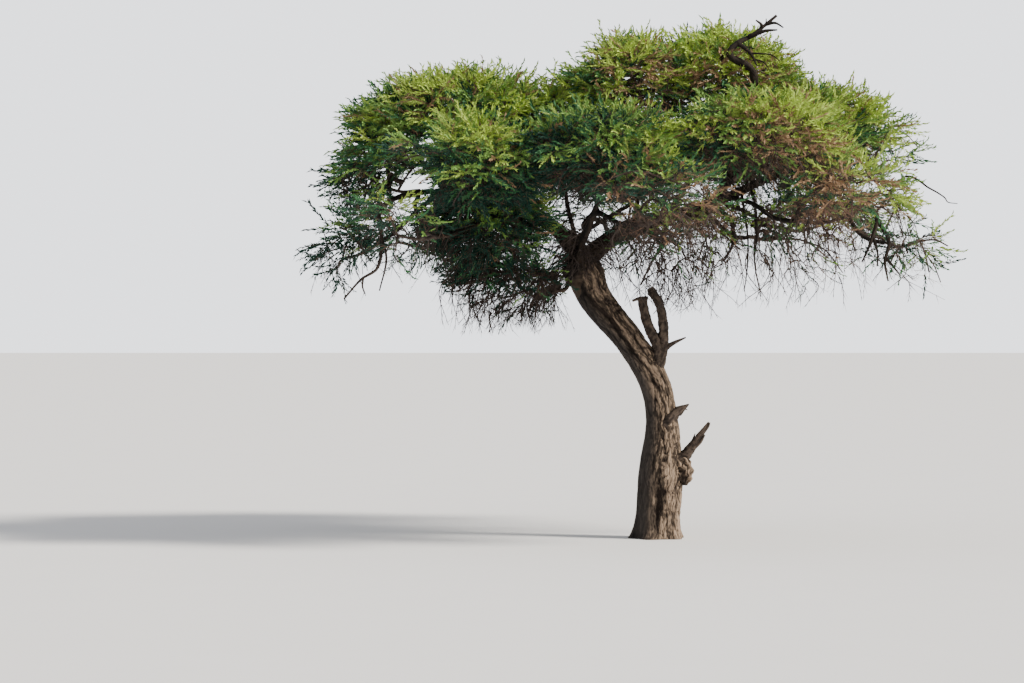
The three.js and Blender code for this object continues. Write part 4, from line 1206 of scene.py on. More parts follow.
@built_once("bark relief")
def relief_tree():
    """Bark: long fissures that wander, fade and join, over broad swellings, pushed out along the surface."""
    inputs = {
        "Geometry": "Geometry", "Depth": 0.075, "Plate Width": 0.085, "Plate Stretch": 7.0,
        "Material": "Material",
    }
    tree, given, out = new_tree("bark relief", "GeometryNodeTree", inputs, {"Geometry": "Geometry"})
    grain = named_field(tree, "grain", "FLOAT_VECTOR")
    heave = named_field(tree, "heave")
    wander = add_noise(tree, grain, 2.6, 2.0, "Color")
    shift = add_scaled(tree, add_vector(tree, "SUBTRACT", wander, (0.5, 0.5, 0.5)), 0.2)
    warped = add_vector(tree, "ADD", grain, shift)
    flat = add_xyz(tree, X=1.0, Y=1.0, Z=add_math(tree, "DIVIDE", 1.0, given["Plate Stretch"]))
    stretched = add_vector(tree, "MULTIPLY", warped, flat)
    scale = add_math(tree, "DIVIDE", 1.0, given["Plate Width"])

    def noise(times, detail):
        return add_noise(tree, stretched, add_math(tree, "MULTIPLY", scale, times), detail)

    def ridges(times, width):
        """0 along wandering lines, rising to 1 beside them."""
        return add_range(tree, beside_lines(tree, noise(times, 1.5)), {"From Max": width}, "SMOOTHSTEP")

    cells = {"Vector": stretched, "Scale": scale, "Randomness": 1.0}
    edge = add_output(tree, "ShaderNodeTexVoronoi", cells, "Distance", feature="DISTANCE_TO_EDGE")
    plate = add_range(tree, edge, {"From Max": 0.13}, "SMOOTHSTEP")
    ends = {"From Min": 0.42, "From Max": 0.6, "To Max": 0.9}
    fading = add_range(tree, noise(0.4, 2.0), ends, "SMOOTHSTEP")
    total = add_total(tree, (
        (add_swing(tree, plate, 1.0, fading), 0.34), (ridges(0.7, 0.06), 0.3), (ridges(1.6, 0.09), 0.2),
        (noise(0.35, 3.0), 0.5), (noise(4.0, 2.0), 0.28),
    ))
    middle = 0.72
    centred = add_math(tree, "SUBTRACT", total, middle)
    roughness = add_math(tree, "ADD", add_math(tree, "MULTIPLY", heave, 0.55), 0.45)
    relief = add_math(tree, "ADD", add_math(tree, "MULTIPLY", centred, roughness), middle)
    push = add_math(tree, "MULTIPLY", add_math(tree, "MULTIPLY", centred, given["Depth"]), heave)
    offset = add_scaled(tree, add_output(tree, "GeometryNodeInputNormal"), push)
    moved = add_output(tree, "GeometryNodeSetPosition", {"Geometry": given["Geometry"], "Offset": offset})
    kept = {"Geometry": moved, "Name": "relief", "Value": relief}
    stored = add_output(tree, "GeometryNodeStoreNamedAttribute", kept, data_type="FLOAT", domain="POINT")
    smooth = add_output(tree, "GeometryNodeSetShadeSmooth", {"Geometry": stored})
    return end_tree(tree, smooth, given["Material"], out)


def add_leaf(tree, length, width):
    """A leaf of one square, its four corners moved to a foot, two raised sides and a tip."""
    square = add_output(tree, "GeometryNodeMeshGrid", {"Vertices X": 2, "Vertices Y": 2}, "Mesh")
    half = add_math(tree, "MULTIPLY", width, 0.5)
    widest = add_math(tree, "MULTIPLY", length, 0.5)
    raised = add_math(tree, "MULTIPLY", width, LEAFY.fold)
    corners = [
        {},
        {"X": add_math(tree, "MULTIPLY", half, -1.0), "Y": widest, "Z": raised},
        {"X": half, "Y": widest, "Z": raised},
        {"Y": length},
    ]
    switch = tree.nodes.new("GeometryNodeIndexSwitch")
    switch.data_type = "VECTOR"
    while len(switch.index_switch_items) < len(corners):
        switch.index_switch_items.new()
    tree.links.new(add_output(tree, "GeometryNodeInputIndex"), switch.inputs["Index"])
    for number, corner in enumerate(corners):
        tree.links.new(add_xyz(tree, **corner), switch.inputs[number + 1])
    return add_output(tree, "GeometryNodeSetPosition", {"Geometry": square, "Position": switch.outputs[0]})


def add_shoot(tree, given, leaf, pattern):
    """One pattern of shoot, as an instance: leaves in a spiral up +Z, the whole bent a little to one side."""
    length = given["Shoot Length"]
    foot = add_xyz(tree, Z=add_math(tree, "MULTIPLY", length, LEAFY.bare_foot))
    leafed = add_math(tree, "MULTIPLY", length, 1 - LEAFY.bare_foot)
    rise = add_xyz(tree, Z=add_math(tree, "DIVIDE", leafed, given["Leaves"]))
    line = {"Count": given["Leaves"], "Start Location": foot, "Offset": rise}
    places = add_output(tree, "GeometryNodeMeshLine", line, mode="OFFSET")
    span = {"Min": (-0.3, -0.3, -0.5), "Max": (0.3, 0.3, 0.5), "Seed": pattern}
    jitter = add_output(tree, "FunctionNodeRandomValue", span, "Value", data_type="FLOAT_VECTOR")
    index = add_output(tree, "GeometryNodeInputIndex")
    turn = add_xyz(tree, X=given["Lean"], Z=add_math(tree, "MULTIPLY", index, GOLDEN_ANGLE))
    sizes = {2: 0.7, 3: 1.2, "Seed": pattern + LEAFY.patterns}
    leaves = add_output(tree, "GeometryNodeInstanceOnPoints", {
        "Points": places,
        "Instance": leaf,
        "Rotation": add_vector(tree, "ADD", turn, jitter),
        "Scale": add_output(tree, "FunctionNodeRandomValue", sizes, 1, data_type="FLOAT"),
    })
    plain = add_output(tree, "GeometryNodeRealizeInstances", {"Geometry": leaves})
    place = add_output(tree, "GeometryNodeInputPosition")
    height = add_output(tree, "ShaderNodeSeparateXYZ", {"Vector": place}, "Z")
    share = add_math(tree, "DIVIDE", height, length)
    way = LEAFY.sag * (pattern - (LEAFY.patterns - 1) / 2)
    aside = add_xyz(tree, X=add_math(tree, "MULTIPLY", add_math(tree, "MULTIPLY", share, share), way))
    bent = add_output(tree, "GeometryNodeSetPosition", {"Geometry": plain, "Offset": aside})
    return add_output(tree, "GeometryNodeGeometryToInstance", {"Geometry": bent})


def leafy_shoots_tree():
    """A shoot ringed with folded leaves on every point, turned to the point's aim, in a few patterns."""
    inputs = {
        "Geometry": "Geometry", "Shoot Length": 0.36, "Leaves": 15, "Leaf Length": 0.076, "Leaf Width": 0.025,
        "Lean": 1.12, "Material": "Material",
    }
    tree, given, out = new_tree("leafy shoots", "GeometryNodeTree", inputs, {"Geometry": "Geometry"})
    leaf = add_leaf(tree, given["Leaf Length"], given["Leaf Width"])
    patterns = tree.nodes.new("GeometryNodeJoinGeometry")
    for pattern in range(LEAFY.patterns):
        tree.links.new(add_shoot(tree, given, leaf, pattern), patterns.inputs[0])
    aim = {"Vector": named_field(tree, "aim", "FLOAT_VECTOR")}
    which = {4: 0, 5: LEAFY.patterns - 1, "Seed": 9}
    shoots = add_output(tree, "GeometryNodeInstanceOnPoints", {
        "Points": given["Geometry"],
        "Instance": patterns.outputs[0],
        "Pick Instance": True,
        "Instance Index": add_output(tree, "FunctionNodeRandomValue", which, 2, data_type="INT"),
        "Rotation": add_output(tree, "FunctionNodeAlignRotationToVector", aim, axis="Z"),
        "Scale": named_field(tree, "size"),
    })
    real = add_output(tree, "GeometryNodeRealizeInstances", {"Geometry": shoots})
    return end_tree(tree, real, given["Material"], out)


# Materials

@built_once("speckle")
def speckle_group():
    """Soft speckle that more than one finish uses: a tone from 0 to 1 and a fine height."""
    inputs = {"Coordinates": "Vector", "Scale": 8.0, "Contrast": 1.0}
    outputs = {"Tone": "Float", "Height": "Float"}
    tree, given, out = new_tree("speckle", "ShaderNodeTree", inputs, outputs)
    coarse = add_noise(tree, given["Coordinates"], given["Scale"], 4.0)
    fine = add_noise(tree, given["Coordinates"], add_math(tree, "MULTIPLY", given["Scale"], 6.0), 3.0)
    centred = add_swing(tree, coarse, 0.5, given["Contrast"])
    doubled = add_math(tree, "ADD", centred, centred)
    tone = add_output(tree, "ShaderNodeMath", {0: doubled, 1: 0.5}, operation="ADD", use_clamp=True)
    tree.links.new(tone, out["Tone"])
    tree.links.new(add_total(tree, ((coarse, 0.4), (fine, 0.6))), out["Height"])
    return tree


@built_once("cracks")
def cracks_group():
    """Fine cracks for live and dead bark: 0 in a crack, rising to 1 beside it."""
    inputs = {"Coordinates": "Vector", "Scale": 16.0, "Width": 0.08}
    tree, given, out = new_tree("cracks", "ShaderNodeTree", inputs, {"Mask": "Float"})
    masks = []
    for times, weight in ((1.0, 0.6), (2.7, 0.4)):
        noise = add_noise(tree, given["Coordinates"], add_math(tree, "MULTIPLY", given["Scale"], times), 1.0)
        mask = add_range(tree, beside_lines(tree, noise), {"From Max": given["Width"]})
        masks.append((mask, weight))
    tree.links.new(add_total(tree, masks), out["Mask"])
    return tree


def new_material(name, roughness, specular=0.3):
    material = bpy.data.materials.new(name)
    material.use_nodes = True
    tree = material.node_tree
    shader = tree.nodes["Principled BSDF"]
    shader.inputs["Roughness"].default_value = roughness
    shader.inputs["Specular IOR Level"].default_value = specular
    return material, tree, shader


def with_alpha(colour):
    return (*colour[:3], 1.0)


def add_ramp(tree, level, deep, body, ridge):
    """Three colours from the bottom of a fissure up to the top of a ridge."""
    ramp = add_node(tree, "ShaderNodeValToRGB", {"Fac": level})
    ramp.color_ramp.elements[0].position = 0.3
    ramp.color_ramp.elements[0].color = with_alpha(deep)
    ramp.color_ramp.elements[1].position = 1.0
    ramp.color_ramp.elements[1].color = with_alpha(ridge)
    ramp.color_ramp.elements.new(0.64).color = with_alpha(body)
    return ramp.outputs["Color"]


def add_blend(tree, share, first, second):
    return add_output(tree, "ShaderNodeMix", {"Factor": share, 6: first, 7: second}, 2, data_type="RGBA")


def painted(tree, name, output="Fac"):
    """A value or vector that a mesh carries."""
    return add_output(tree, "ShaderNodeAttribute", (), output, attribute_name=name)


def bark_material(name, deep, body, ridge, smooth, bump):
    """Fissures are darkest and ridge tops palest, streaked along the grain, and the worn mark makes bark
    paler all over, both wear and painted light and shade. Away from the scaly, sunlit side the bark has the
    smooth bark's darker colour, partly painted shade."""
    material, tree, shader = new_material(name, 0.92, 0.2)
    relief, worn, heave, scaly = (painted(tree, key) for key in ("relief", "worn", "heave", "scaly"))
    grain = add_vector(tree, "MULTIPLY", painted(tree, "grain", "Vector"), (1.0, 1.0, 0.22))
    spots = {"Coordinates": grain, "Scale": 14.0, "Contrast": 1.5}
    speckle = add_node(tree, "ShaderNodeGroup", spots, node_tree=speckle_group()).outputs
    lines = {"Coordinates": grain, "Scale": 15.0, "Width": 0.07}
    cracks = add_output(tree, "ShaderNodeGroup", lines, "Mask", node_tree=cracks_group())
    streak = add_swing(tree, speckle["Tone"], 0.5, 0.22)
    wear_and_light = add_swing(tree, worn, 0.5, 0.6)
    crack = add_swing(tree, cracks, 0.75, add_math(tree, "MULTIPLY", heave, 0.3))
    level = add_math(tree, "ADD", add_math(tree, "ADD", relief, streak), add_math(tree, "ADD", wear_and_light, crack))
    smooth = np.array(smooth)
    # The smooth side's colour is darker partly as painted shade on the side away from the key light.
    smooth_shaded_bark = add_ramp(tree, level, smooth * 0.3, smooth, smooth * 2.2)
    scaly_sunlit_bark = add_ramp(tree, level, deep, body, ridge)
    tree.links.new(add_blend(tree, scaly, smooth_shaded_bark, scaly_sunlit_bark), shader.inputs["Base Color"])
    rough = add_math(tree, "ADD", add_math(tree, "MULTIPLY", crack, 1.5), speckle["Height"])
    height = add_output(tree, "ShaderNodeBump", {"Height": rough, "Strength": bump, "Distance": 0.03})
    tree.links.new(height, shader.inputs["Normal"])
    return material


def speckled_material(name, dark, light, scale, roughness, specular=0.25):
    """A finish that drifts between two near colours."""
    material, tree, shader = new_material(name, roughness, specular)
    spots = {"Coordinates": add_output(tree, "ShaderNodeTexCoord", (), "Object"), "Scale": scale}
    tone = add_output(tree, "ShaderNodeGroup", spots, "Tone", node_tree=speckle_group())
    tree.links.new(add_blend(tree, tone, with_alpha(dark), with_alpha(light)), shader.inputs["Base Color"])
    return material


# Settings that a user would change

def colour_setting(name, description, default):
    return bpy.props.FloatVectorProperty(
        name=name, description=description, default=default, subtype="COLOR", size=3, min=0, max=1
    )


def length_setting(name, description, default):
    return bpy.props.FloatProperty(name=name, description=description, default=default, unit="LENGTH", min=0)


def number_setting(name, description, default, **limits):
    return bpy.props.FloatProperty(name=name, description=description, default=default, **limits)


class BarkSettings(bpy.types.PropertyGroup):
    """The trunk's and the boughs' bark."""

    skin: length_setting("Skin step", "Smallest step in the bark's surface on the trunk", 0.0155)
    bough_skin: length_setting("Bough skin step", "Smallest step in the bark's surface on the boughs", 0.028)
    depth: length_setting("Depth", "How deep the bark's fissures are on the trunk", 0.075)
    plate_width: length_setting("Plate width", "Width of one plate of bark", 0.085)
    plate_stretch: number_setting("Plate stretch", "Length of a plate as times its width", 7.0)
    fissure: colour_setting("Fissures", "Colour at the bottom of the fissures", (0.022, 0.015, 0.011))
    body: colour_setting("Plates", "Colour of the plates", (0.075, 0.055, 0.04))
    # Smooth side: greyer, smoother bark, made darker partly as painted shade on the side away from the key
    # light.
    smooth: colour_setting("Smooth side", "Colour of the smoother bark on the left", (0.031, 0.026, 0.023))
    ridge: colour_setting("Ridges", "Colour of the highest, weathered bark", (0.325, 0.235, 0.165))


class DeadwoodSettings(bpy.types.PropertyGroup):
    """Broken limbs and stubs."""

    ring_step: length_setting("Ring step", "Distance between rings of a dead limb's surface", 0.02)
    depth: length_setting("Depth", "How deep the cracks are on a thick dead limb", 0.09)
    plate_width: length_setting("Crack spacing", "Distance between cracks", 0.05)
    crack: colour_setting("Cracks", "Colour inside the cracks", (0.01, 0.008, 0.007))
    body: colour_setting("Wood", "Colour of the dead wood", (0.034, 0.025, 0.02))
    ridge: colour_setting("Bleached wood", "Colour of the bleached edges", (0.125, 0.092, 0.07))


class TwigSettings(bpy.types.PropertyGroup):
    """Twigs within the crown."""

    crowding: number_setting("Crowding", "Ends of twigs in a cubic metre of crown", 84, min=0)
    tip_radius: length_setting("Tip radius", "Radius of the thinnest twigs", 0.0062)
    dark: colour_setting("Dark bark", "Darkest colour of the twigs", (0.026, 0.019, 0.017))
    light: colour_setting("Light bark", "Palest colour of the twigs", (0.1, 0.072, 0.058))
    bare_dark: colour_setting("Bare shoots, dark", "Darkest colour of leafless shoots", (0.06, 0.04, 0.03))
    bare_light: colour_setting("Bare shoots, light", "Palest colour of leafless shoots", (0.36, 0.215, 0.145))
    bare_length: length_setting("Bare shoot length", "Length of a usual leafless shoot", 0.3)
    strand_radius: length_setting("Strand radius", "Radius of a hanging twig at its foot", 0.014)
    strand_light: colour_setting("Strands, light", "Palest colour of hanging twigs", (0.085, 0.065, 0.056))


class FoliageSettings(bpy.types.PropertyGroup):
    """Leafy shoots."""

    shoot_length: length_setting("Shoot length", "Length of a usual leafy shoot", 0.36)
    leaves: bpy.props.IntProperty(name="Leaves", description="Leaves on a shoot", default=15, min=1)
    leaf_length: length_setting("Leaf length", "Length of one leaf", 0.076)
    leaf_width: length_setting("Leaf width", "Width of one leaf", 0.025)
    lean: number_setting("Lean", "How far leaves lean along the shoot", 1.12, subtype="ANGLE")
    # Lime down to shade green are one leafage lit and shaded: lime and yellow green are painted sunlight,
    # deep and shade green are painted shade. Olive is drying leaves.
    lime: colour_setting("Lime", "Young leaves in full sun", (0.47, 0.62, 0.11))
    yellow: colour_setting("Yellow green", "Leaves in sun", (0.375, 0.5, 0.1))
    green: colour_setting("Green", "Most leaves", (0.2, 0.35, 0.08))
    deep: colour_setting("Deep green", "Leaves low in the crown", (0.05, 0.155, 0.06))
    shade: colour_setting("Shade green", "Leaves that get little sun", (0.011, 0.05, 0.032))
    dry: colour_setting("Olive", "Drying leaves", (0.33, 0.21, 0.12))


class StudioSettings(bpy.types.PropertyGroup):
    """Floor, light and camera."""

    floor: colour_setting("Floor", "Colour of the floor", (0.93, 0.92, 0.92))
    sky: colour_setting("Surroundings", "Colour of the soft light from all round", (0.87, 0.89, 0.93))
    sky_strength: number_setting("Soft light", "Strength of the light from all round", 0.68, min=0)
    backdrop_strength: number_setting("Backdrop", "How bright the backdrop looks", 2.5, min=0)
    sun_strength: number_setting("Key light", "Strength of the key light", 6.0, min=0)
    camera_place: bpy.props.FloatVectorProperty(
        name="Camera", description="Where the camera stands", default=(-2.82, -55.0, 3.80),
        subtype="TRANSLATION", unit="LENGTH",
    )
    focal_length: number_setting("Focal length", "Lens, in millimetres", 100, min=1)


SETTINGS = {
    "acacia_bark": BarkSettings,
    "acacia_deadwood": DeadwoodSettings,
    "acacia_twigs": TwigSettings,
    "acacia_foliage": FoliageSettings,
    "acacia_studio": StudioSettings,
}


def finish_piece(piece, nodes=()):
    """A piece rides on the tree's one body and stands for its solids."""
    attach(piece, "root")
    if nodes:
        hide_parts(*nodes)


def add_piece(name, points, faces, material, slot, nodes=()):
    piece = make_mesh(name, points, faces)
    piece.data.materials.append(material)
    finish_piece(piece, nodes)


def shared_out(total, triangles_each):
    """Even runs of numbers whose pieces each stay under the limit."""
    runs = max(1, math.ceil(total * triangles_each / PIECE_LIMIT))
    return np.array_split(np.arange(total), runs)


# Operators, one for each group of like pieces

def foot_of(bough):
    """The first stretch of a bough, which the trunk's skin takes in."""
    steps = max(2, int(len(bough.line) * FOOT_SKIN.taken))
    radii = bough.radii[:steps] * np.linspace(*FOOT_SKIN.taper, steps)
    return Named(line=bough.line[:steps], radii=radii)


def add_collar(bough):
    """Thicken a bough's foot so that it grows out of its limb without a step."""
    lengths = np.hstack([0, np.cumsum(step_lengths(bough.line))])
    bough.radii = bough.radii * (1 + COLLAR.swell * np.exp(-((lengths / COLLAR.reach) ** 2)))


def lump(form, roughness):
    """A rough ball, for the burl beside the broken limb and the swelling where the boughs part."""
    ball = bmesh.new()
    bmesh.ops.create_icosphere(ball, subdivisions=4, radius=1)
    points = np.array([vertex.co for vertex in ball.verts])
    faces = np.array([[vertex.index for vertex in face.verts] for face in ball.faces])
    ball.free()
    wave = np.sin(points[:, 0] * 7 + 1) * np.cos(points[:, 2] * 9)
    wave = wave + 0.7 * np.sin(points[:, 1] * 11 + points[:, 2] * 5)
    return points * (1 + roughness * wave[:, None]) * np.array(form.size) + np.array(form.middle), faces


def rest_on_ground(piece):
    """Bark relief pushes no point below the ground."""
    points = points_of(piece.data)
    points[:, 2] = np.maximum(points[:, 2], 0)
    piece.data.vertices.foreach_set("co", points.ravel())
    piece.data.update()


def cut_at_ground(piece):
    """Take off what lies below the ground and close the cut."""
    form = bmesh.new()
    form.from_mesh(piece.data)
    cut = bmesh.ops.bisect_plane(
        form, geom=form.verts[:] + form.edges[:] + form.faces[:], plane_co=(0, 0, 0), plane_no=(0, 0, -1),
        clear_outer=True,
    )
    edges = [part for part in cut["geom_cut"] if isinstance(part, bmesh.types.BMEdge)]
    bmesh.ops.contextual_create(form, geom=edges)
    bmesh.ops.triangulate(form, faces=[face for face in form.faces if len(face.verts) > 4])
    form.to_mesh(piece.data)
    form.free()


def add_relief(piece, parts, bark, material):
    """Say how rough each point is, how pale by wear and by painted light and shade, and where it takes the
    scaly, sunlit colours; then push the bark's relief out along the surface.
    """
    points = points_of(piece.data).astype(float)
    height = points[:, 2]
    grain, girth, angle = grain_of(points, parts)
    # The right side, which faces the key light, has rougher, paler bark: partly real bark, partly painted
    # sunlight.
    rough_sunlit_side = smoothstep(-0.5, 0.35, np.cos(angle) - 0.35 * np.sin(angle))
    upper = smoothstep(2.6, 3.4, height)
    burl = share_of(BURL, points)
    rugged = np.maximum(rough_sunlit_side, 0.7 * upper)
    heave = smoothstep(0.01, 0.3, girth) * mix(0.15, 1.0, rugged) + 0.3 * burl
    heave *= smoothstep(0.0, 0.03, height)
    # The sunlit right side is paler: partly paler bark, partly painted sunlight.
    worn = mix(0.45, 0.58, rough_sunlit_side) + 0.5 * burl
    # Darker higher up the trunk, and darker still in the crown as painted shade, partly darker bark.
    dark = smoothstep(DARK_BARK_AND_CROWN_SHADE.start, DARK_BARK_AND_CROWN_SHADE.end, height)
    worn = worn - 0.14 * smoothstep(3.4, 4.2, height) - 1.1 * dark
    on_bole = height < DARK_BARK_AND_CROWN_SHADE.start
    around = -angle
    # The cleft is darkened as painted shade; the fold is paler old bark.
    for part, change in ((CLEFT, -1.3), (FOLD, 0.6)):
        aside = ((around - part.angle) / (0.75 * part.width)) ** 2
        along = ((height - part.height) / (0.8 * part.reach)) ** 2
        worn += on_bole * change * np.exp(-(aside + along))
    # The dark hollow below the burl is painted shade.
    worn -= 1.3 * share_of(PAINTED_HOLLOW_SHADE, points)
    # Each groove is darkened as painted shade.
    for groove in GROOVES:
        worn -= groove.dark * groove_share(groove, height, around)
    # The scaly colours go on the sunlit side and the burl; elsewhere the smooth side's darker colour is
    # partly painted shade.
    scaly = np.maximum(rough_sunlit_side, burl)
    add_attributes(piece.data, {"grain": grain, "heave": heave, "worn": worn, "scaly": scaly})
    add_tree_modifier(piece, relief_tree(), {
        "Depth": bark.depth, "Plate Width": bark.plate_width, "Plate Stretch": bark.plate_stretch,
        "Material": material,
    })


def share_of(form, points):
    """1 in the middle of a form, falling to 0 beyond its size."""
    return np.exp(-(((points - form.middle) / form.size) ** 2).sum(-1))


class ACACIA_OT_limbs(bpy.types.Operator):
    """Grow the trunk and the boughs as one skin of fissured bark."""

    bl_idname = "acacia.limbs"
    bl_label = "Trunk and boughs"

    def execute(self, context):
        bark = context.scene.acacia_bark
        limbs = grow_limbs()
        trunk = Named(
            line=smooth_line([at for at, radius in TRUNK_STATIONS], TRUNK_SKIN.steps),
            radii=spread(limbs["trunk"].radii, TRUNK_SKIN.steps + 1),
        )
        boughs = [
            bough_limb(mass, limbs[mass.source], seeded(SEEDS.boughs + index), BOUGH_SKIN.finer)
            for index, mass in enumerate(MASSES)
        ]
        for bough in boughs:
            add_collar(bough)
        feet = [foot_of(bough) for bough in boughs if bough.mass.source == "trunk"]
        bole = [limb_rings(trunk, TRUNK_SKIN.ring, TRUNK_SKIN.sides, trunk_radius)]
        bole += [lump(form, roughness) for form, roughness in LUMPS]
        bole += [limb_rings(foot, FOOT_SKIN.ring, FOOT_SKIN.sides) for foot in feet]
        crown = [limb_rings(bough, BOUGH_SKIN.ring, BOUGH_SKIN.sides) for bough in boughs]
        material = bark_material("bark", bark.fissure, bark.body, bark.ridge, bark.smooth, 0.7)
        for name, parts, step, nodes in (
            ("bole", bole, bark.skin, ["trunk"]),
            ("boughs", crown, bark.bough_skin, ["bough_" + mass.name for mass in MASSES]),
        ):
            rough = make_mesh("rough_" + name, *join_parts(parts))
            skin = rough.modifiers.new("skin", "REMESH")
            skin.mode = "VOXEL"
            skin.voxel_size = step
            settle = rough.modifiers.new("settle", "SMOOTH")
            settle.iterations = SKIN_SETTLES
            piece = evaluated_piece(rough, name + "_skin")
            cut_at_ground(piece)
            add_relief(piece, [trunk, *boughs], bark, material)
            piece = evaluated_piece(piece, name)
            rest_on_ground(piece)
            finish_piece(piece, nodes)
        return {"FINISHED"}


def dead_rings(part, step):
    sides = DEAD_SIDES.thick if part.radii[0] > DEAD_SIDES.from_radius else DEAD_SIDES.thin
    return limb_rings(part, step, sides)


def dead_parts(piece, limbs):
    """A dead limb and its prongs. Those that stand on the trunk have their feet sunk in its wood."""
    limb = dead_limb(piece, limbs, DEAD_STEPS.finer)
    parts = [limb, *limb.prongs]
    for part in parts:
        part.radii = part.radii * piece.stouter
    if piece.source == "trunk":
        for part in parts:
            core = limbs["trunk"].line
            below = part.line[0] - UP * DEAD_FOOT
            sunk = mix(below, core[np.argmin(sizes_of(core - below))], 0.5)
            part.line = np.vstack([sunk, part.line])
            part.radii = np.hstack([part.radii[0], part.radii])
    return parts


def dead_strand(line, radii):
    """A dead twig that starts on the nearest limb."""
    stretches = all_stretches()
    nearest = np.argmin(sizes_of(stretches.start - np.array(line[0])))
    return tapered([stretches.start[nearest], *line], radii, DEAD_STEPS.strand)


class ACACIA_OT_deadwood(bpy.types.Operator):
    """Make the broken limbs and stubs of cracked dead wood."""

    bl_idname = "acacia.deadwood"
    bl_label = "Dead wood"

    def execute(self, context):
        look = context.scene.acacia_deadwood
        limbs = grow_limbs()
        parts = [part for piece in DEADWOOD for part in dead_parts(piece, limbs)]
        parts += [tapered(line, radii, DEAD_STEPS.end) for line, radii in DEAD_ENDS]
        parts += [dead_strand(line, radii) for line, radii in DEAD_STRANDS]
        points, faces = join_parts([dead_rings(part, look.ring_step) for part in parts])
        grain, girth, angle = grain_of(points, parts)
        heave = smoothstep(0.01, 0.2, girth)
        # Paler on the side facing the key light and darker up in the crown: painted sunlight and painted
        # shade.
        worn = 0.5 + 0.12 * np.cos(angle) - 0.4 * smoothstep(5.0, 5.6, points[:, 2])
        marks = {"grain": grain, "heave": heave, "worn": worn, "scaly": np.ones(len(points))}
        rough = make_mesh("rough_deadwood", points, faces, marks)
        material = bark_material("dead_wood", look.crack, look.body, look.ridge, look.body, 0.8)
        add_tree_modifier(rough, relief_tree(), {
            "Depth": look.depth, "Plate Width": look.plate_width, "Plate Stretch": DEAD_STRETCH,
            "Material": material,
        })
        piece = evaluated_piece(rough, "deadwood")
        finish_piece(piece, [dead.name for dead in DEADWOOD])
        return {"FINISHED"}


class ACACIA_OT_twigs(bpy.types.Operator):
    """Grow the stems and twigs of every mass."""

    bl_idname = "acacia.twigs"
    bl_label = "Twigs"

    def execute(self, context):
        look = context.scene.acacia_twigs
        crown = grow_crown(look.crowding, look.tip_radius)
        steps, sides = STEM_TUBE
        parts = []
        for stem in crown.stems:
            parts.append(
                tubes(smooth_line(stem.line, steps)[None], smooth_radii(stem.radii, steps)[None], sides)
            )
        steps, sides = TWIG_TUBE
        for line, radii in crown.firsts:
            parts.append(tubes(smooth_line(line, steps)[None], spread(radii, steps + 1)[None], sides))
        material = speckled_material("twig_bark", look.dark, look.light, 3.0, 0.85)
        nodes = ["mass_" + mass.name for mass in MASSES]
        add_piece("branches", *join_parts(parts), material, "bare_twigs", nodes)
        for number, run in enumerate(shared_out(len(crown.lines), 14)):
            twigs = tubes(crown.lines[run], crown.radii[run], 3)
            add_piece(f"twigs_{number + 1}", *twigs, material, "bare_twigs")
        return {"FINISHED"}


class ACACIA_OT_strands(bpy.types.Operator):
    """Hang long bare twigs from the crown's lower side, and sprout others from the limbs."""

    bl_idname = "acacia.strands"
    bl_label = "Hanging twigs"

    def execute(self, context):
        look = context.scene.acacia_twigs
        rng = np.random.default_rng(SEEDS.spurs)
        material = speckled_material("strand_bark", look.dark, look.strand_light, 2.5, 0.85)
        crown = grow_crown(look.crowding, look.tip_radius)
        strands, limb_shoots = grow_strands(crown, SEEDS.strands), grow_limb_shoots(SEEDS.limb_shoots)
        for name, lines, thick, spurs in (
            ("strands", strands, look.strand_radius, SPUR.on_strand),
            ("limb_shoots", limb_shoots, look.strand_radius * SPROUT.slimmer, SPUR.on_limb_shoot),
        ):
            size = thick * rng.uniform(0.6, 1.2, (len(lines), 1))
            radii = np.linspace(*STRAND.taper, lines.shape[1])[None] * size
            starts, ends = side_spurs(lines, spurs, look.bare_length, rng)
            inside = in_room(ends)
            sprigs = spikes(starts[inside], ends[inside], thick * SPUR.radius)
            add_piece(name, *join_parts([tubes(lines, radii, 3), sprigs]), material, "bare_twigs")
        return {"FINISHED"}


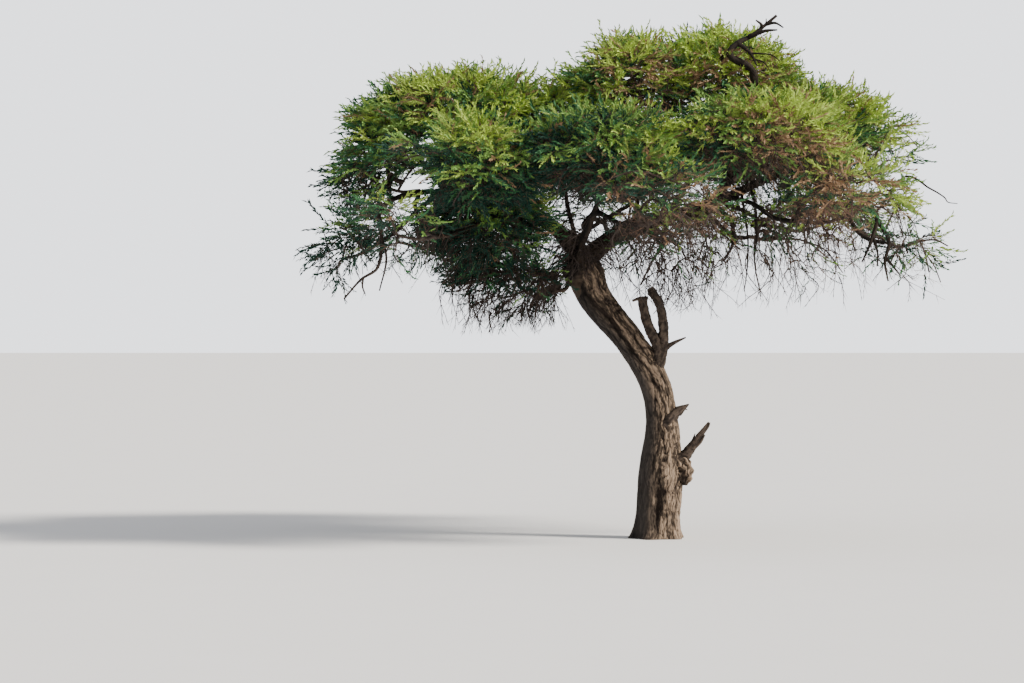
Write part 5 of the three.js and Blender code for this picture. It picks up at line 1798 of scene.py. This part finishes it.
class ACACIA_OT_bare_shoots(bpy.types.Operator):
    """Set leafless shoots, each with two side spurs, where the crown is bare."""

    bl_idname = "acacia.bare_shoots"
    bl_label = "Bare shoots"

    def execute(self, context):
        look = context.scene.acacia_twigs
        shoots = crown_shoots(context)
        rng = np.random.default_rng(SEEDS.bare)
        root, aim = shoots.root[~shoots.leafy], shoots.aim[~shoots.leafy]
        length = np.minimum(look.bare_length * rng.uniform(*BARE.length, len(root)), room_ahead(root, aim))
        tip = root + aim * length[:, None]
        starts, ends, radii = [root], [tip], [np.full(len(root), look.tip_radius * BARE.radius)]
        for share in BARE.spurs:
            sideways = unit(np.cross(aim, rng.normal(size=aim.shape)))
            foot = mix(root, tip, share)
            reach = length * rng.uniform(*BARE.spur_length, len(root))
            starts.append(foot)
            ends.append(foot + unit(aim + BARE.sideways * sideways) * reach[:, None])
            radii.append(np.full(len(root), look.tip_radius * BARE.spur_radius))
        starts, ends, radii = np.vstack(starts), np.vstack(ends), np.hstack(radii)
        drying = np.maximum(patch_share(root, DRY_PATCHES), smoothstep(*BARE.pale_from, root[:, 0]))
        least, more = BARE.pale
        # In the shade patches bare shoots take the dark twig colours, as painted shade.
        pale = rng.random(len(root)) < (least + more * drying) * (1 - patch_share(root, SHADE_PATCHES))
        for name, dark, light, mine in (
            ("pale", look.bare_dark, look.bare_light, pale),
            ("dark", look.dark, look.light, ~pale),
        ):
            material = speckled_material("bare_shoots_" + name, dark, light, 2.2, 0.85)
            chosen = np.flatnonzero(np.tile(mine, 1 + len(BARE.spurs)))
            for number, run in enumerate(shared_out(len(chosen), 4)):
                these = chosen[run]
                sprigs = spikes(starts[these], ends[these], radii[these])
                add_piece(f"bare_shoots_{name}_{number + 1}", *sprigs, material, "bare_twigs")
        return {"FINISHED"}


def deal_tints(root, rng):
    """A number into TINTS for every shoot, from how its place meets the sun and from named patches: painted
    light and shade in the leaves' colours.
    """
    depth, outward = crown_shell(root)
    facing = outward @ unit(LIGHT.sun)
    raised = root[:, 2] - LIGHT.middle_height
    light = LIGHT.usual + LIGHT.facing * facing + LIGHT.rightward * root[:, 0] + LIGHT.upward * raised
    # Sunny patches add painted sunlight and shade patches painted shade.
    dark = patch_share(root, SHADE_PATCHES)
    light += LIGHT.sunny * patch_share(root, SUNNY_PATCHES) - LIGHT.dark * dark
    clump = clump_of(root)
    slope = clump - clump_of(root + LIGHT.slope_step * UP)
    light += LIGHT.clump * clump + LIGHT.slope * slope
    light += rng.normal(0, LIGHT.jitter, len(root)) - LIGHT.deep * smoothstep(*LIGHT.depths, depth)
    tint = np.digitize(light, TINT_STEPS)
    drying = DRYING.anywhere * (tint > 1) + DRYING.in_patch * patch_share(root, DRY_PATCHES)
    dry = rng.random(len(root)) < drying * (1 - dark)
    return np.where(dry, DRY_TINT, tint)


class ACACIA_OT_leafy_shoots(bpy.types.Operator):
    """Set leafy shoots over the crown, their colours dealt out by how each meets the light."""

    bl_idname = "acacia.leafy_shoots"
    bl_label = "Leafy shoots"

    def execute(self, context):
        look = context.scene.acacia_foliage
        stems = context.scene.acacia_twigs
        shoots = crown_shoots(context)
        rng = np.random.default_rng(SEEDS.leafy)
        root, aim = shoots.root[shoots.leafy], shoots.aim[shoots.leafy]
        leading = shoots.last[shoots.leafy] & (rng.random(len(root)) < LEAFY.leading)
        aim = np.where(leading[:, None], unit(aim + UP * LEAFY.leading_up), aim)
        size = rng.uniform(*LEAFY.size, len(root)) * np.where(leading, LEAFY.leading_size, 1.0)
        size = size * mix(1, LEAFY.deep_size, smoothstep(*LEAFY.depths, crown_shell(root)[0]))
        size = np.minimum(size, room_ahead(root, aim) / (look.shoot_length + look.leaf_length))
        tips = root + aim * (size * look.shoot_length * LEAFY.stem)[:, None]
        wood = speckled_material("shoot_bark", stems.dark, stems.bare_light, 2.5, 0.8)
        for number, run in enumerate(shared_out(len(root), 4)):
            sprigs = spikes(root[run], tips[run], stems.tip_radius * LEAFY.stem_radius)
            add_piece(f"shoot_stems_{number + 1}", *sprigs, wood, "bare_twigs")
        tree = leafy_shoots_tree()
        tint = deal_tints(root, rng)
        for number, (name, slot) in enumerate(TINTS):
            colour = np.array(getattr(look, name))
            material = speckled_material("leaf_" + name, colour * 0.72, colour * 1.25, 5.0, 0.62, 0.3)
            mine = np.flatnonzero(tint == number)
            for part, run in enumerate(shared_out(len(mine), 2 * look.leaves)):
                chosen = mine[run]
                marks = {"aim": aim[chosen], "size": size[chosen]}
                rough = make_mesh("shoot_places", root[chosen], [], marks)
                add_tree_modifier(rough, tree, {
                    "Shoot Length": look.shoot_length, "Leaves": look.leaves, "Leaf Length": look.leaf_length,
                    "Leaf Width": look.leaf_width, "Lean": look.lean, "Material": material,
                })
                finish_piece(evaluated_piece(rough, f"leaves_{name}_{part + 1}"))
        return {"FINISHED"}


def crown_shoots(context):
    look = context.scene.acacia_twigs
    return grow_shoots(grow_crown(look.crowding, look.tip_radius), SEEDS.shoots)


class ACACIA_OT_studio(bpy.types.Operator):
    """Set up the pale floor, soft light and the camera."""

    bl_idname = "acacia.studio"
    bl_label = "Studio"

    def execute(self, context):
        studio = context.scene.acacia_studio
        corners = [
            (x * FLOOR.edge, y * FLOOR.edge, FLOOR.level) for x, y in ((-1, -1), (1, -1), (1, 1), (-1, 1))
        ]
        floor = make_mesh("floor", corners, [(0, 1, 2, 3)])
        near = np.array(studio.floor) * 0.985
        floor.data.materials.append(speckled_material("floor", near, studio.floor, 0.6, 0.9, 0.1))
        world = bpy.data.worlds.new("surroundings")
        world.use_nodes = True
        light = world.node_tree.nodes["Background"]
        light.inputs["Color"].default_value = with_alpha(studio.sky)
        seen = add_output(world.node_tree, "ShaderNodeLightPath", (), "Is Camera Ray")
        ends = {"To Min": studio.sky_strength, "To Max": studio.backdrop_strength}
        world.node_tree.links.new(add_range(world.node_tree, seen, ends), light.inputs["Strength"])
        context.scene.world = world
        sun = bpy.data.lights.new("key", "SUN")
        sun.energy = studio.sun_strength
        sun.angle = KEY_LIGHT.width
        sun.color = KEY_LIGHT.colour
        lamp = new_object("key", sun)
        lamp.rotation_euler = Vector(KEY_LIGHT.direction).to_track_quat("-Z", "Y").to_euler()
        lens = bpy.data.cameras.new("camera")
        lens.lens = studio.focal_length
        lens.clip_end = FARTHEST_SEEN
        camera = new_object("camera", lens)
        camera.location = studio.camera_place
        camera.rotation_euler = (math.pi / 2, 0, 0)
        context.scene.camera = camera
        return {"FINISHED"}


OPERATORS = [
    ACACIA_OT_limbs, ACACIA_OT_deadwood, ACACIA_OT_twigs, ACACIA_OT_strands, ACACIA_OT_bare_shoots,
    ACACIA_OT_leafy_shoots, ACACIA_OT_studio,
]


class ACACIA_PT_panel(bpy.types.Panel):
    """The tree's settings and the operators that grow it."""

    bl_label = "Acacia"
    bl_idname = "ACACIA_PT_panel"
    bl_space_type = "VIEW_3D"
    bl_region_type = "UI"
    bl_category = "Acacia"

    def draw(self, context):
        for name, group in SETTINGS.items():
            box = self.layout.box()
            box.label(text=group.__doc__)
            for key in group.__annotations__:
                box.prop(getattr(context.scene, name), key)
        for operator in OPERATORS:
            self.layout.operator(operator.bl_idname)


CLASSES = [*SETTINGS.values(), *OPERATORS, ACACIA_PT_panel]


def register():
    for each in CLASSES:
        bpy.utils.register_class(each)
    for name, group in SETTINGS.items():
        setattr(bpy.types.Scene, name, bpy.props.PointerProperty(type=group))


def unregister():
    for name in SETTINGS:
        delattr(bpy.types.Scene, name)
    for each in reversed(CLASSES):
        bpy.utils.unregister_class(each)


def main():
    register()
    bpy.ops.acacia.limbs()
    bpy.ops.acacia.deadwood()
    bpy.ops.acacia.twigs()
    bpy.ops.acacia.strands()
    bpy.ops.acacia.bare_shoots()
    bpy.ops.acacia.leafy_shoots()
    bpy.ops.acacia.studio()


if __name__ == "__main__":
    main()
